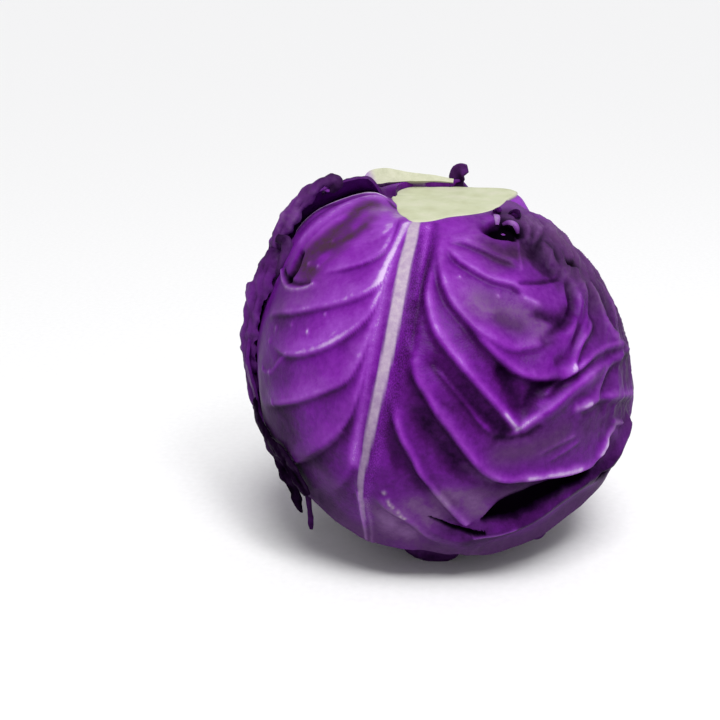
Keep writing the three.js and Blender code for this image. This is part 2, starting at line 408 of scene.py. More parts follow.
@dataclass(frozen=True)
class Fold:
    """A ridge that a vein raises: a long upper flank with a painted highlight by the crest, a steep lower
    one, and painted shade beneath it.
    """

    route: Route
    height: float  # mm
    upper: float  # width of the upper flank, mm
    lower: float  # width of the lower flank, mm
    crest_highlight: float = 0.2  # painted highlight: tone gained on the ridge
    crease_shade: float = 0.2  # painted shade: tone lost beneath it
    fall: float = 4.0
    start: float = 6.0  # mm over which it rises at its start
    end: float = 14.0  # mm over which it fades at its end

    GROOVE_PLACE: ClassVar[float] = 2.1  # lower widths below the line
    GROOVE_DEPTH: ClassVar[float] = 0.22  # of the height

    def press(self, skin: Skin, spots: Array) -> None:
        """Raises the ridge, paints a highlight along its crest and paints shade beneath it.

        Above the line the height is exp(-(distance / upper)^1.4), below it bell(distance / lower) and
        then a shallow groove. The shade beneath starts at the lower flank and dies out over the fall.

        Args:
            skin: the relief and tints to add to.
            spots: the grid's places on the globe.
        """
        down, along, length = self.route.measure(spots)
        fade = smooth(along / self.start) * smooth((length - along) / self.end)
        above = np.exp(-np.power(np.maximum(-down, 0.0) / self.upper, 1.4))
        below = bell(np.maximum(down, 0.0) / self.lower)
        groove = bell((down - self.GROOVE_PLACE * self.lower) / self.lower)
        skin.add(fade * (above * below - self.GROOVE_DEPTH * groove), lift=self.height)
        # Painted highlight along the crest, uneven along its length.
        uneven = 0.45 + 0.5 * Lattice(Seed.FOLD_HIGHLIGHT)(spots / 5.0)
        painted_highlight = 0.6 * bell((down + 0.3 * self.upper) / (0.5 * self.upper)) + uneven * bell((down + 0.5) / 0.9)
        skin.add(fade * painted_highlight, tone=self.crest_highlight)
        # Painted shade beneath the ridge.
        shade = smooth(down / self.lower - 0.3) * np.exp(-np.maximum(down - self.lower, 0.0) / self.fall)
        skin.add(fade * shade, tone=-self.crease_shade)


@dataclass(frozen=True)
class Stroke:
    """A soft stripe along a route that lifts or sinks the skin and tints it, with a ragged border."""

    route: Route
    width: float
    lift: float = 0.0
    tone: float = 0.0
    bloom: float = 0.0
    scuff: float = 0.0
    ragged: float = 0.25
    swell: Curve = Curve(((0.0, 1.0),))  # the width's change along the route
    edge: float = 1.0  # more than 1 for a flat middle and a sharp border

    def press(self, skin: Skin, spots: Array) -> None:
        """Adds bell((distance / width)^edge), the distance also growing past the route's two ends.

        Args:
            skin: the relief and tints to add to.
            spots: the grid's places on the globe.
        """
        down, along, length = self.route.measure(spots)
        past = np.maximum(np.maximum(-along, along - length), 0.0)
        uneven = 1.0 + self.ragged * Lattice(Seed.STROKE_BORDER).layered(spots / 6.0, 2)
        width = self.width * uneven * self.swell(np.clip(along / length, 0.0, 1.0))
        mask = bell((np.hypot(down, past) / width) ** self.edge)
        skin.add(mask, self.lift, tone=self.tone, bloom=self.bloom, scuff=self.scuff)


@dataclass(frozen=True)
class Specks:
    """Small raised specks at (azimuth, polar) points, their pale tone a painted glint on their tops; a flesh
    tint marks some as scars.
    """

    points: Points
    size: float
    lift: float = 0.5
    # painted glint: tone gained on a speck's top
    tone: float = 0.3
    flesh: float = 0.0

    def press(self, skin: Skin, spots: Array) -> None:
        """Adds the highest bell(distance / size) of all points, each a little stretched along the head.

        Args:
            skin: the relief and tints to add to.
            spots: the grid's places on the globe.
        """
        places = HEAD.place(*np.array(self.points, float).T)
        uneven = self.size * (1.0 + 0.5 * Lattice(Seed.SPECK_SIZE)(spots / 1.3))
        gaps = [np.linalg.norm((spots - place) * (1.0, 1.0, 0.7), axis=-1) for place in places]
        mask = bell(np.min(gaps, axis=0) / uneven)
        skin.add(mask, self.lift, tone=self.tone, bloom=0.3, flesh=self.flesh)


@dataclass(frozen=True)
class Crumple:
    """Uneven skin: seeded noise with its own cell size across and along the leaf, in one region."""

    seed: int
    across: float
    along: float
    height: float
    azimuths: tuple[float, float, float] = (-999.0, 999.0, 1.0)  # from, to, over (degrees)
    polars: tuple[float, float, float] = (-999.0, 999.0, 1.0)
    creased: bool = False
    tone: float = 0.0

    def press(self, skin: Skin, azimuth: Array, polar: Array, grid_mm: Array) -> None:
        """Adds height x noise inside the region, and tone x noise: painted highlight on the rises, painted
        shade in the dips.

        For creased skin it is height x (1 - 2.2 sqrt(|noise| + 0.01)).

        Args:
            skin: the relief and tints to add to.
            azimuth: the grid's azimuths.
            polar: the grid's polar angles.
            grid_mm: millimetres across and along the leaf at each place.
        """
        low, high, over = self.azimuths
        region = smooth((azimuth - low) / over) * smooth((high - azimuth) / over)
        low, high, over = self.polars
        region = region * smooth((polar - low) / over) * smooth((high - polar) / over)
        cells = grid_mm / np.array([self.across, self.along, 1.0])
        noise = Lattice(self.seed).layered(cells, 3)
        if self.creased:
            noise = 1.0 - 2.2 * np.sqrt(np.abs(noise) + 0.01)
        # The tone follows the relief: painted highlight on rises, painted shade in dips and creases.
        skin.add(region * noise, self.height, tone=self.tone)


# ---------------------------------------------------------------- leaves


HALF_SKIN = 0.75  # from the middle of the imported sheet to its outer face, mm


@dataclass(frozen=True)
class Flare:
    """How far an edge stands off the head, and how much of the blade takes part."""

    start: float
    lift: Curve

    def __call__(self, share: Array, position: Array) -> Array:
        """lift(position) x (share of the way from start to the edge)^2, in mm."""
        return self.lift(position) * np.clip((share - self.start) / (1 - self.start), 0, 1) ** 2


@dataclass(frozen=True)
class Side:
    """The blade on one side of the midrib."""

    reach: Curve  # degrees from the rib, by polar angle
    drop: float  # how much earlier than the tip its corner ends, degrees
    bow: float = 2.4
    flare: Flare | None = None


@dataclass(frozen=True)
class Stub:
    """A thick base that was cut higher than the stalk: degrees from the rib against mm above the cut."""

    rise: Curve
    band: float = 12.0  # mm over which the leaf goes over to the cut's level


@dataclass(frozen=True)
class LeafPlan:
    """The outline and lie of a leaf."""

    rib: Curve  # azimuth by polar angle
    right: Side
    left: Side
    tip: float
    hem: Curve = Curve(((0.0, 0.0),))  # degrees that the end hangs lower, by place across
    base_depth: float = 0.0
    tip_flare: Flare | None = None
    stub: Stub | None = None
    ragged: float = 1.1  # how uneven the margin is, mm

    STALK_POLAR: ClassVar[float] = 20.0  # where a base meets the stalk, degrees
    SHOULDER: ClassVar[float] = 60.0  # below it nothing is cut level, degrees
    LEVEL_BAND: ClassVar[float] = 9.0  # mm over which a leaf goes over to the cut's level
    COVER_MARGIN: ClassVar[float] = 4.5  # mm past its outline that a leaf still lifts the next one
    COVER_RAMP: ClassVar[float] = 17.0  # mm over which that dies out
    PITCH: ClassVar[float] = 2.4  # mm from leaf to leaf
    FIRST_LIFT: ClassVar[float] = 2.0  # mm from the heart to the first leaf
    BURIED_FROM: ClassVar[float] = 4.0  # mm inside another's outline where a leaf starts to sink
    BURIED_RAMP: ClassVar[float] = 7.0
    END_NOTCHES: ClassVar[float] = 12.0  # cells of unevenness along half the end
    SIDE_NOTCH: ClassVar[float] = 8.0  # degrees between notches down a side

    def by_side(self, right: Array, pick: Callable[[Side], Array | float]) -> Array:
        """A value of the right side where right is true, else of the left side."""
        return np.where(right, pick(self.right), pick(self.left))

    def outside(self, azimuth: Array, polar: Array) -> Array:
        """Millimetres from the leaf's outline, negative under the leaf."""
        away = wrap(azimuth - self.rib(polar))
        right = away > 0
        reach = self.by_side(right, lambda s: s.reach(polar))
        share = np.minimum(np.abs(away) / reach, 1.0)
        past = (np.abs(away) - reach) * np.sin(polar * RAD) * HEAD.mm_per_degree
        below = (polar - self.end(np.where(right, share, -share))) * HEAD.mm_per_degree
        return np.maximum(past, below)

    def end(self, across: Array) -> Array:
        """The polar angle where the leaf ends.

        Args:
            across: -1 to 1, left edge to right edge.

        Returns:
            tip - drop x |across|^bow + hem, in degrees.
        """
        right = across > 0
        drop = self.by_side(right, lambda s: s.drop)
        bow = self.by_side(right, lambda s: s.bow)
        return self.tip - drop * np.abs(across) ** bow + self.hem(across)

    def cover(self, azimuth: Array, polar: Array) -> Array:
        """1 where the leaf lies over a place, sinking to 0 outside its outline."""
        return 1.0 - smooth((self.outside(azimuth, polar) - self.COVER_MARGIN) / self.COVER_RAMP)

    def bury(self, azimuth: Array, polar: Array) -> Array:
        """0 at the outline, rising to 1 where the leaf hides a place well inside it."""
        return smooth((-self.outside(azimuth, polar) - self.BURIED_FROM) / self.BURIED_RAMP)

    def lying_lift(self, under: tuple["LeafPlan", ...], azimuth: Array, polar: Array) -> Array:
        """The lift of this leaf where it lies flat on those under it: one pitch for each."""
        stacked = sum((leaf.cover(azimuth, polar) for leaf in under), 0.0 * azimuth)
        return heart_lift(polar) + self.FIRST_LIFT + self.PITCH * stacked

    def lay(
        self, under: tuple["LeafPlan", ...], along: Array, across: Array, clearance: float
    ) -> dict[str, Array]:
        """Lays the leaf on the head.

        The polar angle runs from the stalk's wall to the leaf's end, and the azimuth from the rib out
        to the reach, both with an uneven margin. The lift is that of the leaves beneath, plus the
        flares. Near the stalk the height goes over to the level at which the leaf was cut.

        Args:
            under: the plans of the leaves beneath, innermost first.
            along: 0 at the stalk to 1 at the tip.
            across: -1 to 1, left edge to right edge.
            clearance: mm between the stalk's wall and the leaf's base, less than 0 to go into it.

        Returns:
            The middle of the sheet ("middle"), the place on the globe beneath it ("spots"), its
            "azimuth", "polar" and "grid_mm" there, 1 at the stalk's level ("near"), and how far the
            place is to the side ("share") and to the tip ("along").
        """
        right = across > 0
        share = np.abs(across)
        sign = np.sign(across)
        base_reach = self.by_side(right, lambda s: s.reach(np.float64(self.STALK_POLAR)))
        base_azimuth = self.rib(np.float64(self.STALK_POLAR)) + across * base_reach
        wall = CUT.radius(base_azimuth) + clearance
        stalk_polar = np.full(across.shape, self.STALK_POLAR)
        base_lift = self.lying_lift(under, base_azimuth, stalk_polar)
        top = np.arcsin(wall / (HEAD.radius(base_azimuth, stalk_polar) + base_lift)) / RAD
        ragged = self.ragged / HEAD.mm_per_degree
        at_end = np.stack([across * self.END_NOTCHES, 0.0 * along, 0.0 * along], axis=-1)
        uneven = ragged * Lattice(Seed.LEAF_END).layered(at_end, 3)
        polar = mix(top, self.end(across) + uneven * along**3, along)
        at_side = np.stack([polar / self.SIDE_NOTCH, sign + 2.0, 0.0 * along], axis=-1)
        uneven = ragged * Lattice(Seed.LEAF_SIDE).layered(at_side, 3)
        reach = self.by_side(right, lambda s: s.reach(polar)) + uneven * share**4
        reach_mm = reach * HEAD.mm_per_degree * np.sin(polar * RAD)
        azimuth = self.rib(polar) + across * reach
        lift = self.lying_lift(under, azimuth, polar)
        for side, here in ((self.right, right), (self.left, ~right)):
            if side.flare:
                lift = lift + np.where(here, side.flare(share, polar), 0.0)
        if self.tip_flare:
            lift = lift + self.tip_flare(along, across)
        place = HEAD.place(azimuth, polar, lift)

        out = np.hypot(place[..., 0], place[..., 1]) - wall
        band = self.stub.band if self.stub else self.LEVEL_BAND
        near = np.where(polar < self.SHOULDER, 1.0 - smooth(out / band), 0.0)
        if self.stub:
            rise = self.stub.rise(wrap(azimuth - self.rib(np.float64(self.STALK_POLAR))))
        else:
            rise = -self.base_depth
        level = CUT.level(place[..., 1]) + rise - HALF_SKIN
        place[..., 2] = mix(place[..., 2], level, near)

        grid_mm = np.stack([across * reach_mm, polar * HEAD.mm_per_degree, 0.0 * polar], axis=-1)
        return {
            "middle": place, "spots": HEAD.place(azimuth, polar), "azimuth": azimuth, "polar": polar,
            "grid_mm": grid_mm, "near": near, "share": share, "along": along,
        }


class Shell:
    """A closed surface in mm about the head's centre, with a value of each tint at each vertex."""

    CREASE_ANGLE: ClassVar[float] = 62.0  # degrees

    def __init__(self) -> None:
        """Starts empty."""
        self.places: list[Array] = []
        self.faces: list[Array] = []
        self.tints: dict[Tint, list[Array]] = {tint: [] for tint in Tint}
        self.grid_mm: list[Array] = []
        self.count = 0

    def put(self, places: Array, grid_mm: Array, tints: dict[Tint, Array]) -> int:
        """Adds vertices.

        Args:
            places: (..., 3) in mm.
            grid_mm: (..., 3), millimetres across and along the leaf.
            tints: a value of each tint at each vertex.

        Returns:
            The index of the first one.
        """
        first = self.count
        self.places.append(places.reshape(-1, 3))
        self.grid_mm.append(grid_mm.reshape(-1, 3))
        for tint in Tint:
            self.tints[tint].append(tints[tint].reshape(-1))
        self.count += self.places[-1].shape[0]
        return first

    def join(self, faces: Array) -> None:
        """Adds faces, (n, 3) or (n, 4) vertex indices."""
        self.faces.append(faces)

    def make(self, name: str) -> bpy.types.Object:
        """Makes the Blender object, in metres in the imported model's frame.

        Args:
            name: the object's name.

        Returns:
            The object, at the origin, smooth-shaded but for edges that turn by more than the crease angle.
        """
        mesh = bpy.data.meshes.new(name)
        places = (np.concatenate(self.places) + HEAD_CENTRE) * MM
        loops = np.concatenate([f.reshape(-1) for f in self.faces])
        sizes = np.concatenate([np.full(len(f), f.shape[1]) for f in self.faces])
        starts = np.concatenate([[0], np.cumsum(sizes)[:-1]])
        mesh.vertices.add(len(places))
        mesh.vertices.foreach_set("co", places.astype(np.float32).reshape(-1))
        mesh.loops.add(len(loops))
        mesh.loops.foreach_set("vertex_index", loops.astype(np.int32))
        mesh.polygons.add(len(sizes))
        mesh.polygons.foreach_set("loop_start", starts.astype(np.int32))
        mesh.update(calc_edges=True)
        for tint in Tint:
            data = mesh.attributes.new(tint.value, "FLOAT", "POINT").data
            data.foreach_set("value", np.concatenate(self.tints[tint]).astype(np.float32))
        grid = np.concatenate(self.grid_mm).astype(np.float32)
        mesh.attributes.new("grid_mm", "FLOAT_VECTOR", "POINT").data.foreach_set("vector", grid.reshape(-1))
        mesh.shade_smooth()
        mesh.set_sharp_from_angle(angle=self.CREASE_ANGLE * RAD)
        thing = bpy.data.objects.new(name, mesh)
        bpy.context.scene.collection.objects.link(thing)
        return thing


INNER_STEP = 3  # outer steps beside each inner one


def sheet_shell(shell: Shell, outer: Array, inner: Array, outside: Skin, inside: Skin,
                grid_mm: Array) -> None:
    """Adds a closed sheet: a fine outer grid, an inner grid with a third of its steps, and a rim.

    The rim runs round the grid, and each inner step is joined to the three outer steps beside it by a
    fan of four triangles.

    Args:
        shell: the surface to add to.
        outer: outer places, (rows, columns, 3), rows and columns one more than a multiple of three.
        inner: inner places, on the same grid.
        outside: the outer tints.
        inside: the inner tints.
        grid_mm: millimetres across and along the leaf.
    """
    rows, columns = outer.shape[:2]
    first = shell.put(outer, grid_mm, outside.tints)
    every = slice(None, None, INNER_STEP)
    thin = {tint: value[every, every] for tint, value in inside.tints.items()}
    second = shell.put(inner[every, every], grid_mm[every, every], thin)
    fine = first + np.arange(rows * columns).reshape(rows, columns)
    coarse_shape = ((rows - 1) // INNER_STEP + 1, (columns - 1) // INNER_STEP + 1)
    coarse = second + np.arange(coarse_shape[0] * coarse_shape[1]).reshape(coarse_shape)
    shell.join(quads_of(fine))
    shell.join(quads_of(coarse)[:, ::-1])
    a = rim_of(fine)
    b = rim_of(coarse)
    b_next = np.roll(b, -1)
    a0, a1, a2 = (a[k::INNER_STEP] for k in range(INNER_STEP))
    a3 = np.roll(a0, -1)
    fans = [
        np.stack([a0, a1, b], axis=1), np.stack([a1, a2, b], axis=1),
        np.stack([a2, b_next, b], axis=1), np.stack([a2, a3, b_next], axis=1),
    ]
    shell.join(np.concatenate(fans))


def lowest(values: Array, reach: int) -> Array:
    """The least of each value's neighbours on a grid.

    Args:
        values: a value at each place of the grid.
        reach: how many steps away a neighbour may be, along both axes.

    Returns:
        The least values, on the same grid.
    """
    for axis in (0, 1):
        pad = [(reach, reach) if k == axis else (0, 0) for k in (0, 1)]
        padded = np.pad(values, pad, mode="edge")
        size = values.shape[axis]
        values = np.min([np.take(padded, np.arange(size) + k, axis=axis) for k in range(2 * reach + 1)],
                        axis=0)
    return values


def quads_of(index: Array) -> Array:
    """The quads of a grid of vertex indices, each down, then right, then up."""
    return np.stack([index[:-1, :-1], index[1:, :-1], index[1:, 1:], index[:-1, 1:]], axis=-1).reshape(-1, 4)


def rim_of(index: Array) -> Array:
    """The indices once round a grid's border: along the top, down the right, back, and up the left."""
    return np.concatenate([index[0, :-1], index[:-1, -1], index[-1, :0:-1], index[:0:-1, 0]])


def close_round(shell: Shell, first: int, pole: int, rings: int, around: int) -> None:
    """Joins rings of vertices, and closes both ends with a fan of triangles round a pole.

    Args:
        shell: the surface.
        first: the index of the first ring's first vertex.
        pole: the index of the first ring's pole; the last ring's follows it.
        rings: how many rings there are.
        around: how many vertices a ring has.
    """
    index = first + np.arange(rings * around).reshape(rings, around)
    ring = np.concatenate([index, index[:, :1]], axis=1)
    shell.join(quads_of(ring))
    shell.join(np.stack([np.full(around, pole), ring[0, :-1], ring[0, 1:]], axis=1))
    shell.join(np.stack([ring[-1, 1:], ring[-1, :-1], np.full(around, pole + 1)], axis=1))


def normals_of(grid: Array) -> Array:
    """Outward unit normals of a grid of places: (the step down) x (the step right)."""
    return unit(np.cross(np.gradient(grid, axis=0), np.gradient(grid, axis=1)))


@dataclass(frozen=True)
class Ribbon:
    """A strip of leaf that stands free, torn or rolled: a thin sheet along a path.

    The path's points are azimuth, polar angle and millimetres off the globe. The facing gives the
    direction of the outer face at even steps along the path.
    """

    path: tuple[tuple[float, float, float], ...]
    facing: tuple[tuple[float, float, float], ...]
    width: Curve
    roll: float = 0.0  # degrees from edge to edge, less than 0 where the outer face bulges
    thickness: float = 0.9
    crumple: float = 0.5
    fray: float = 0.3
    tone: Curve = Curve(((0.0, 0.45),))
    inner_tone: float = 0.25
    bloom: float = 0.3
    flesh: Curve = Curve(((0.0, 0.0),))
    seed: int = 51
    rows: int = 49
    columns: int = 16

    def add_to(self, shell: Shell) -> None:
        """Adds the strip to a leaf's surface.

        Across the strip, a share v of the half width w lies w sin(a v) / a sideways and
        w (1 - cos(a v)) / a off it, for a roll of a radians to each side. Seeded noise pleats it lengthways
        and frays its edges.

        Args:
            shell: the surface.
        """
        knots = HEAD.place(*np.array(self.path, float).T)
        chord = np.concatenate([[0.0], np.cumsum(np.linalg.norm(np.diff(knots, axis=0), axis=1))])
        share = np.linspace(0.0, 1.0, self.rows)
        line = np.stack([Curve(tuple(zip(chord, k)))(share * chord[-1]) for k in knots.T], axis=-1)
        steps = np.linspace(0.0, 1.0, len(self.facing))
        face = np.stack([Curve(tuple(zip(steps, k)))(share) for k in np.array(self.facing, float).T], axis=-1)
        tangent = unit(np.gradient(line, axis=0))
        face = unit(face - np.sum(face * tangent, axis=-1, keepdims=True) * tangent)
        side = np.cross(face, tangent)
        along, across = np.meshgrid(share, np.linspace(-1.0, 1.0, self.columns), indexing="ij")
        mm = np.stack([across * self.width(along) / 2, along * chord[-1], 0.0 * along], axis=-1)
        edge = np.stack([mm[..., 1] / 3.0, np.sign(across), 0.0 * across], axis=-1)
        fray = self.fray * Lattice(self.seed).layered(edge, 3)
        half = self.width(along) / 2 * (1.0 + fray * np.abs(across))
        angle = self.roll * RAD / 2 if abs(self.roll) > 0.1 else 0.001
        sideways = half * np.sin(angle * across) / angle
        off = half * (1.0 - np.cos(angle * across)) / angle
        middle = line[:, None] + side[:, None] * sideways[..., None] + face[:, None] * off[..., None]
        normal = normals_of(middle)
        pleats = Lattice(self.seed).layered(mm / np.array([2.6, 11.0, 1.0]) + 0.1 * middle, 2)
        rough = 0.7 * pleats + 0.5 * Lattice(self.seed + 1).layered(middle / 4.0, 2)
        middle = middle + normal * (self.crumple * rough)[..., None]
        normal = normals_of(middle) * self.thickness / 2
        outside = Skin(along.shape, 0.0)
        outside.add(np.ones(along.shape), bloom=self.bloom)
        # The tone follows the pleats: painted highlight on their tops, painted shade in their hollows.
        outside.tints[Tint.TONE] += self.tone(along) + 0.2 * rough
        outside.tints[Tint.FLESH] += self.flesh(along)
        inside = Skin(along.shape, self.inner_tone)
        inside.add(np.ones(along.shape), bloom=0.5 * self.bloom)
        sheet_shell(shell, middle + normal, middle - normal, outside, inside, mm)


@dataclass(frozen=True)
class Midrib:
    """A leaf's midrib: its route, its width by length along it, and how it stands out."""

    route: Route
    width: Curve
    height: float = 0.9
    pale: Curve = Curve(((0.0, 0.9),))
    grain: float = 0.0

    def press(self, skin: Skin, spots: Array) -> None:
        """Raises a low flat-topped ridge and colours it; grain fills a band beside it.

        Args:
            skin: the relief and tints to add to.
            spots: the grid's places on the globe.
        """
        down, along, length = self.route.measure(spots)
        width = self.width(along)
        ends = smooth((length - along) / 12.0)
        side = np.abs(down) / width
        skin.add(ends * bell(side**2 * 1.1), lift=self.height)
        pale = ends * (1.0 - smooth((np.abs(down) - 0.34 * width) / (0.2 * width)))
        skin.settle(Tint.RIB, 1.0, pale * self.pale(along))
        skin.settle(Tint.BLOOM, 0.0, pale)
        beside = bell((np.abs(down) - 1.1 * width) / (0.9 * width)) * np.where(down > 0, 1.0, 0.4)
        skin.add(ends * beside, grain=self.grain)


@dataclass
class WrapperLeaf:
    """One leaf of the head: it lays its sheet, presses its relief in and carries its tints."""

    name: str
    node: str
    slot: str
    plan: LeafPlan
    rows: int
    columns: int
    left_share: float
    # Painted shade: the tone falls from 0.6 by the stalk to 0.42 low down, where less light reaches.
    tone: Curve = Curve(((20, 0.6), (50, 0.56), (75, 0.5), (95, 0.44), (120, 0.42)))
    clearance: float = -0.6
    thickness: Curve = Curve(((0.0, 2.6), (0.25, 1.6), (0.7, 1.1), (1.0, 0.8)))
    edge_thickness: float = 0.7
    midrib: Midrib | None = None
    strips: tuple[Ribbon, ...] = ()
    features: tuple[Fold | Stroke | Specks, ...] = ()
    crumples: tuple[Crumple, ...] = ()
    margin_bloom: float = 0.5
    inner_tone: float = 0.3

    SINK: ClassVar[float] = 3.0  # mm

    def grid(self) -> tuple[Array, Array]:
        """The leaf's two parameters: rows close up towards the stalk, columns are even on each side.

        Returns:
            0 at the stalk to 1 at the tip, and -1 to 1 from the left edge to the right edge.
        """
        t = np.linspace(0.0, 1.0, self.rows)
        left = int(round(self.left_share * (self.columns - 1)))
        right = self.columns - 1 - left
        s = np.concatenate([np.linspace(-1, 0, left + 1), np.linspace(0, 1, right + 1)[1:]])
        along, across = np.meshgrid(t * (0.75 + 0.25 * t), s, indexing="ij")
        return along, across

    def dress_skin(self, lie: dict[str, Array]) -> Skin:
        """The outer face's relief and tints.

        Args:
            lie: what LeafPlan.lay returned.

        Returns:
            The skin.
        """
        skin = Skin(lie["polar"].shape, 0.0)
        skin.tints[Tint.TONE] += self.tone(lie["polar"])
        spots = lie["spots"]
        mottle = Lattice(Seed.MOTTLE).layered(spots / 9.0, 3)
        skin.add(mottle, lift=0.12, tone=0.05)
        skin.add(np.clip(Lattice(Seed.WAX).layered(spots / 14.0, 3), 0, 1), bloom=0.2)
        for crumple in self.crumples:
            crumple.press(skin, lie["azimuth"], lie["polar"], lie["grid_mm"])
        for feature in self.features:
            feature.press(skin, spots)
        edge = np.maximum(smooth((lie["share"] - 0.78) / 0.22), smooth((lie["along"] - 0.84) / 0.16))
        skin.add(edge, bloom=self.margin_bloom)
        if self.midrib:
            self.midrib.press(skin, spots)
        return skin

    def build(self, under: tuple[LeafPlan, ...], over: tuple[LeafPlan, ...]) -> Shell:
        """The leaf's closed surface.

        Args:
            under: the plans of the leaves beneath.
            over: the plans of the leaves on top.

        Returns:
            The surface: outer face = sheet + normal x (half skin + relief), inner face = the
            lowest relief nearby less the thickness. The leaf sinks where another one hides it.
        """
        along, across = self.grid()
        lie = self.plan.lay(under, along, across, self.clearance)
        skin = self.dress_skin(lie)
        normal = normals_of(lie["middle"])
        calm = 1.0 - lie["near"]
        sunk = np.zeros(calm.shape)
        for leaf in over:
            sunk = np.maximum(sunk, self.SINK * leaf.bury(lie["azimuth"], lie["polar"]))
        relief = HALF_SKIN + (skin.lift - sunk) * calm
        outer = lie["middle"] + normal * relief[..., None]
        towards_edge = smooth((lie["share"] - 0.8) / 0.2)
        thickness = mix(self.thickness(lie["along"]), self.edge_thickness, towards_edge)
        inner = lie["middle"] + normal * (lowest(relief, INNER_STEP) - thickness)[..., None]
        inside = Skin(lie["polar"].shape, self.inner_tone)
        inside.add(np.ones(lie["polar"].shape), bloom=0.1)
        shell = Shell()
        sheet_shell(shell, outer, inner, skin, inside, lie["grid_mm"])
        for strip in self.strips:
            strip.add_to(shell)
        return shell

    def make(
        self, under: tuple[LeafPlan, ...], over: tuple[LeafPlan, ...], material: bpy.types.Material
    ) -> bpy.types.Object:
        """Builds, dresses and places the leaf.

        Args:
            under: the plans of the leaves beneath.
            over: the plans of the leaves on top.
            material: its skin.

        Returns:
            The object.
        """
        return settle_piece(self.build(under, over), self.name, self.node, material)


def settle_piece(
    shell: Shell, name: str, node: str, material: bpy.types.Material
) -> bpy.types.Object:
    """Makes a shell an object that rides on the head and takes the place of its CAD node, which it hides.

    Args:
        shell: the surface.
        name: the piece's name.
        node: the CAD node that it stands for.
        material: the finish.

    Returns:
        The object.
    """
    thing = shell.make(name)
    thing.data.materials.append(material)
    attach(thing, "root")
    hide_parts(node)
    LOG.info("%s: %d faces", name, len(thing.data.polygons))
    return thing


@dataclass(frozen=True)
class Heart:
    """The firm heart, pressed flat where it stands on the table."""

    rings: int = 121
    spokes: int = 181
    flat_radius: float = 21.0

    def build(self) -> Shell:
        """The heart's surface: rings from under the stalk to the flat spot, closed at both poles.

        Returns:
            The surface. Its height is kept at or above the table, which makes the flat spot.
        """
        polar = np.linspace(14.0, 180.0, self.rings)
        azimuth = np.linspace(-180.0, 180.0, self.spokes)[:-1]
        p, a = np.meshgrid(polar, azimuth, indexing="ij")
        places = HEAD.place(a, p, heart_lift(p))
        wraps = Fold(Route(((-150, 166), (-60, 158), (20, 150), (95, 146))), 1.0, 9.0, 1.2, 0.1, 0.25)
        turns = Fold(Route(((160, 168), (80, 160), (0, 160), (-80, 150))), 1.0, 9.0, 1.2, 0.1, 0.25)
        skin = Skin(p.shape, 0.3)
        for fold in (wraps, turns):
            fold.press(skin, HEAD.place(a, p))
        skin.add(Lattice(Seed.HEART_SKIN).layered(places / 8.0, 3), lift=0.2, tone=0.05)
        skin.add(np.ones(p.shape), bloom=0.45)
        away_from_flat = smooth((np.hypot(places[..., 0], places[..., 1]) - self.flat_radius) / 8.0)
        lifted = places + unit(places) * (skin.lift * away_from_flat)[..., None]
        lifted[..., 2] = np.maximum(lifted[..., 2], -REST_HEIGHT)
        shell = Shell()
        first = shell.put(lifted[:-1], grid_of(a, p)[:-1], {t: v[:-1] for t, v in skin.tints.items()})
        poles = np.array([[0.0, 0.0, lifted[0, :, 2].mean()], [0.0, 0.0, -REST_HEIGHT]])
        pole = shell.put(poles, np.zeros((2, 3)), skin.at_ends())
        close_round(shell, first, pole, self.rings - 1, self.spokes - 1)
        return shell


def grid_of(azimuth: Array, polar: Array) -> Array:
    """Millimetres round and down the head."""
    across = azimuth * np.sin(polar * RAD) * HEAD.mm_per_degree
    return np.stack([across, polar * HEAD.mm_per_degree, 0.0 * polar], axis=-1)


@dataclass(frozen=True)
class Stalk:
    """The stalk with its knife-cut face."""

    spokes: int = 240
    rings: int = 34
    walls: int = 12
    grow: float = 0.9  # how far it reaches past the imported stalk, into the leaf bases, mm
    foot: float = 54.0

    def build(self) -> Shell:
        """The stalk's surface: the cut face from its middle out, a rounded rim, a wall and a foot.

        Returns:
            The surface. A place on the cut is (share x outline radius) out, on the knife's slope.
        """
        azimuth = np.linspace(-180.0, 180.0, self.spokes + 1)[:-1]
        outline = CUT.radius(azimuth) + self.grow
        face = np.linspace(0.02, 1.0, self.rings)
        down = np.linspace(0.0, 1.0, self.walls + 1)[1:]
        share = np.concatenate([face, np.ones(self.walls)])
        sunk = np.concatenate([0.0 * face, down])
        s, a = np.meshgrid(share, azimuth, indexing="ij")
        d = np.broadcast_to(sunk[:, None], s.shape)
        radius = s * outline
        x = radius * np.sin(a * RAD)
        y = -radius * np.cos(a * RAD)
        level = CUT.level(y)
        rim = 0.5 * smooth((s - 0.97) / 0.03) * (d == 0)
        flat = np.stack([x, y, 0.0 * x], axis=-1)
        waves = 0.3 * Lattice(Seed.CUT_FACE).layered(flat / 9.0, 3)
        z = mix(level + waves * (1 - smooth((s - 0.9) / 0.1)) - rim, self.foot, d)
        skin = Skin(s.shape, 0.6)
        skin.settle(Tint.FLESH, 1.0, 1.0 - smooth((s - 0.985) / 0.015) * 0.3)
        skin.settle(Tint.FLESH, 0.0, (d > 0.02).astype(float))
        places = np.stack([x, y, z], axis=-1)
        shell = Shell()
        first = shell.put(places, places, skin.tints)
        ends = np.array([[0.0, 0.0, float(z[0].mean())], [0.0, 0.0, self.foot]])
        pole = shell.put(ends, ends, skin.at_ends())
        close_round(shell, first, pole, *s.shape)
        return shell


# ---------------------------------------------------------------- finishes


def colour(code: str) -> tuple[float, float, float, float]:
    """An sRGB hex colour as linear values.

    Args:
        code: six hex digits after a #.

    Returns:
        Linear red, green and blue, and full opacity.
    """
    parts = [int(code[i : i + 2], 16) / 255 for i in (1, 3, 5)]
    linear = [c / 12.92 if c <= 0.04045 else ((c + 0.055) / 1.055) ** 2.4 for c in parts]
    return (linear[0], linear[1], linear[2], 1.0)


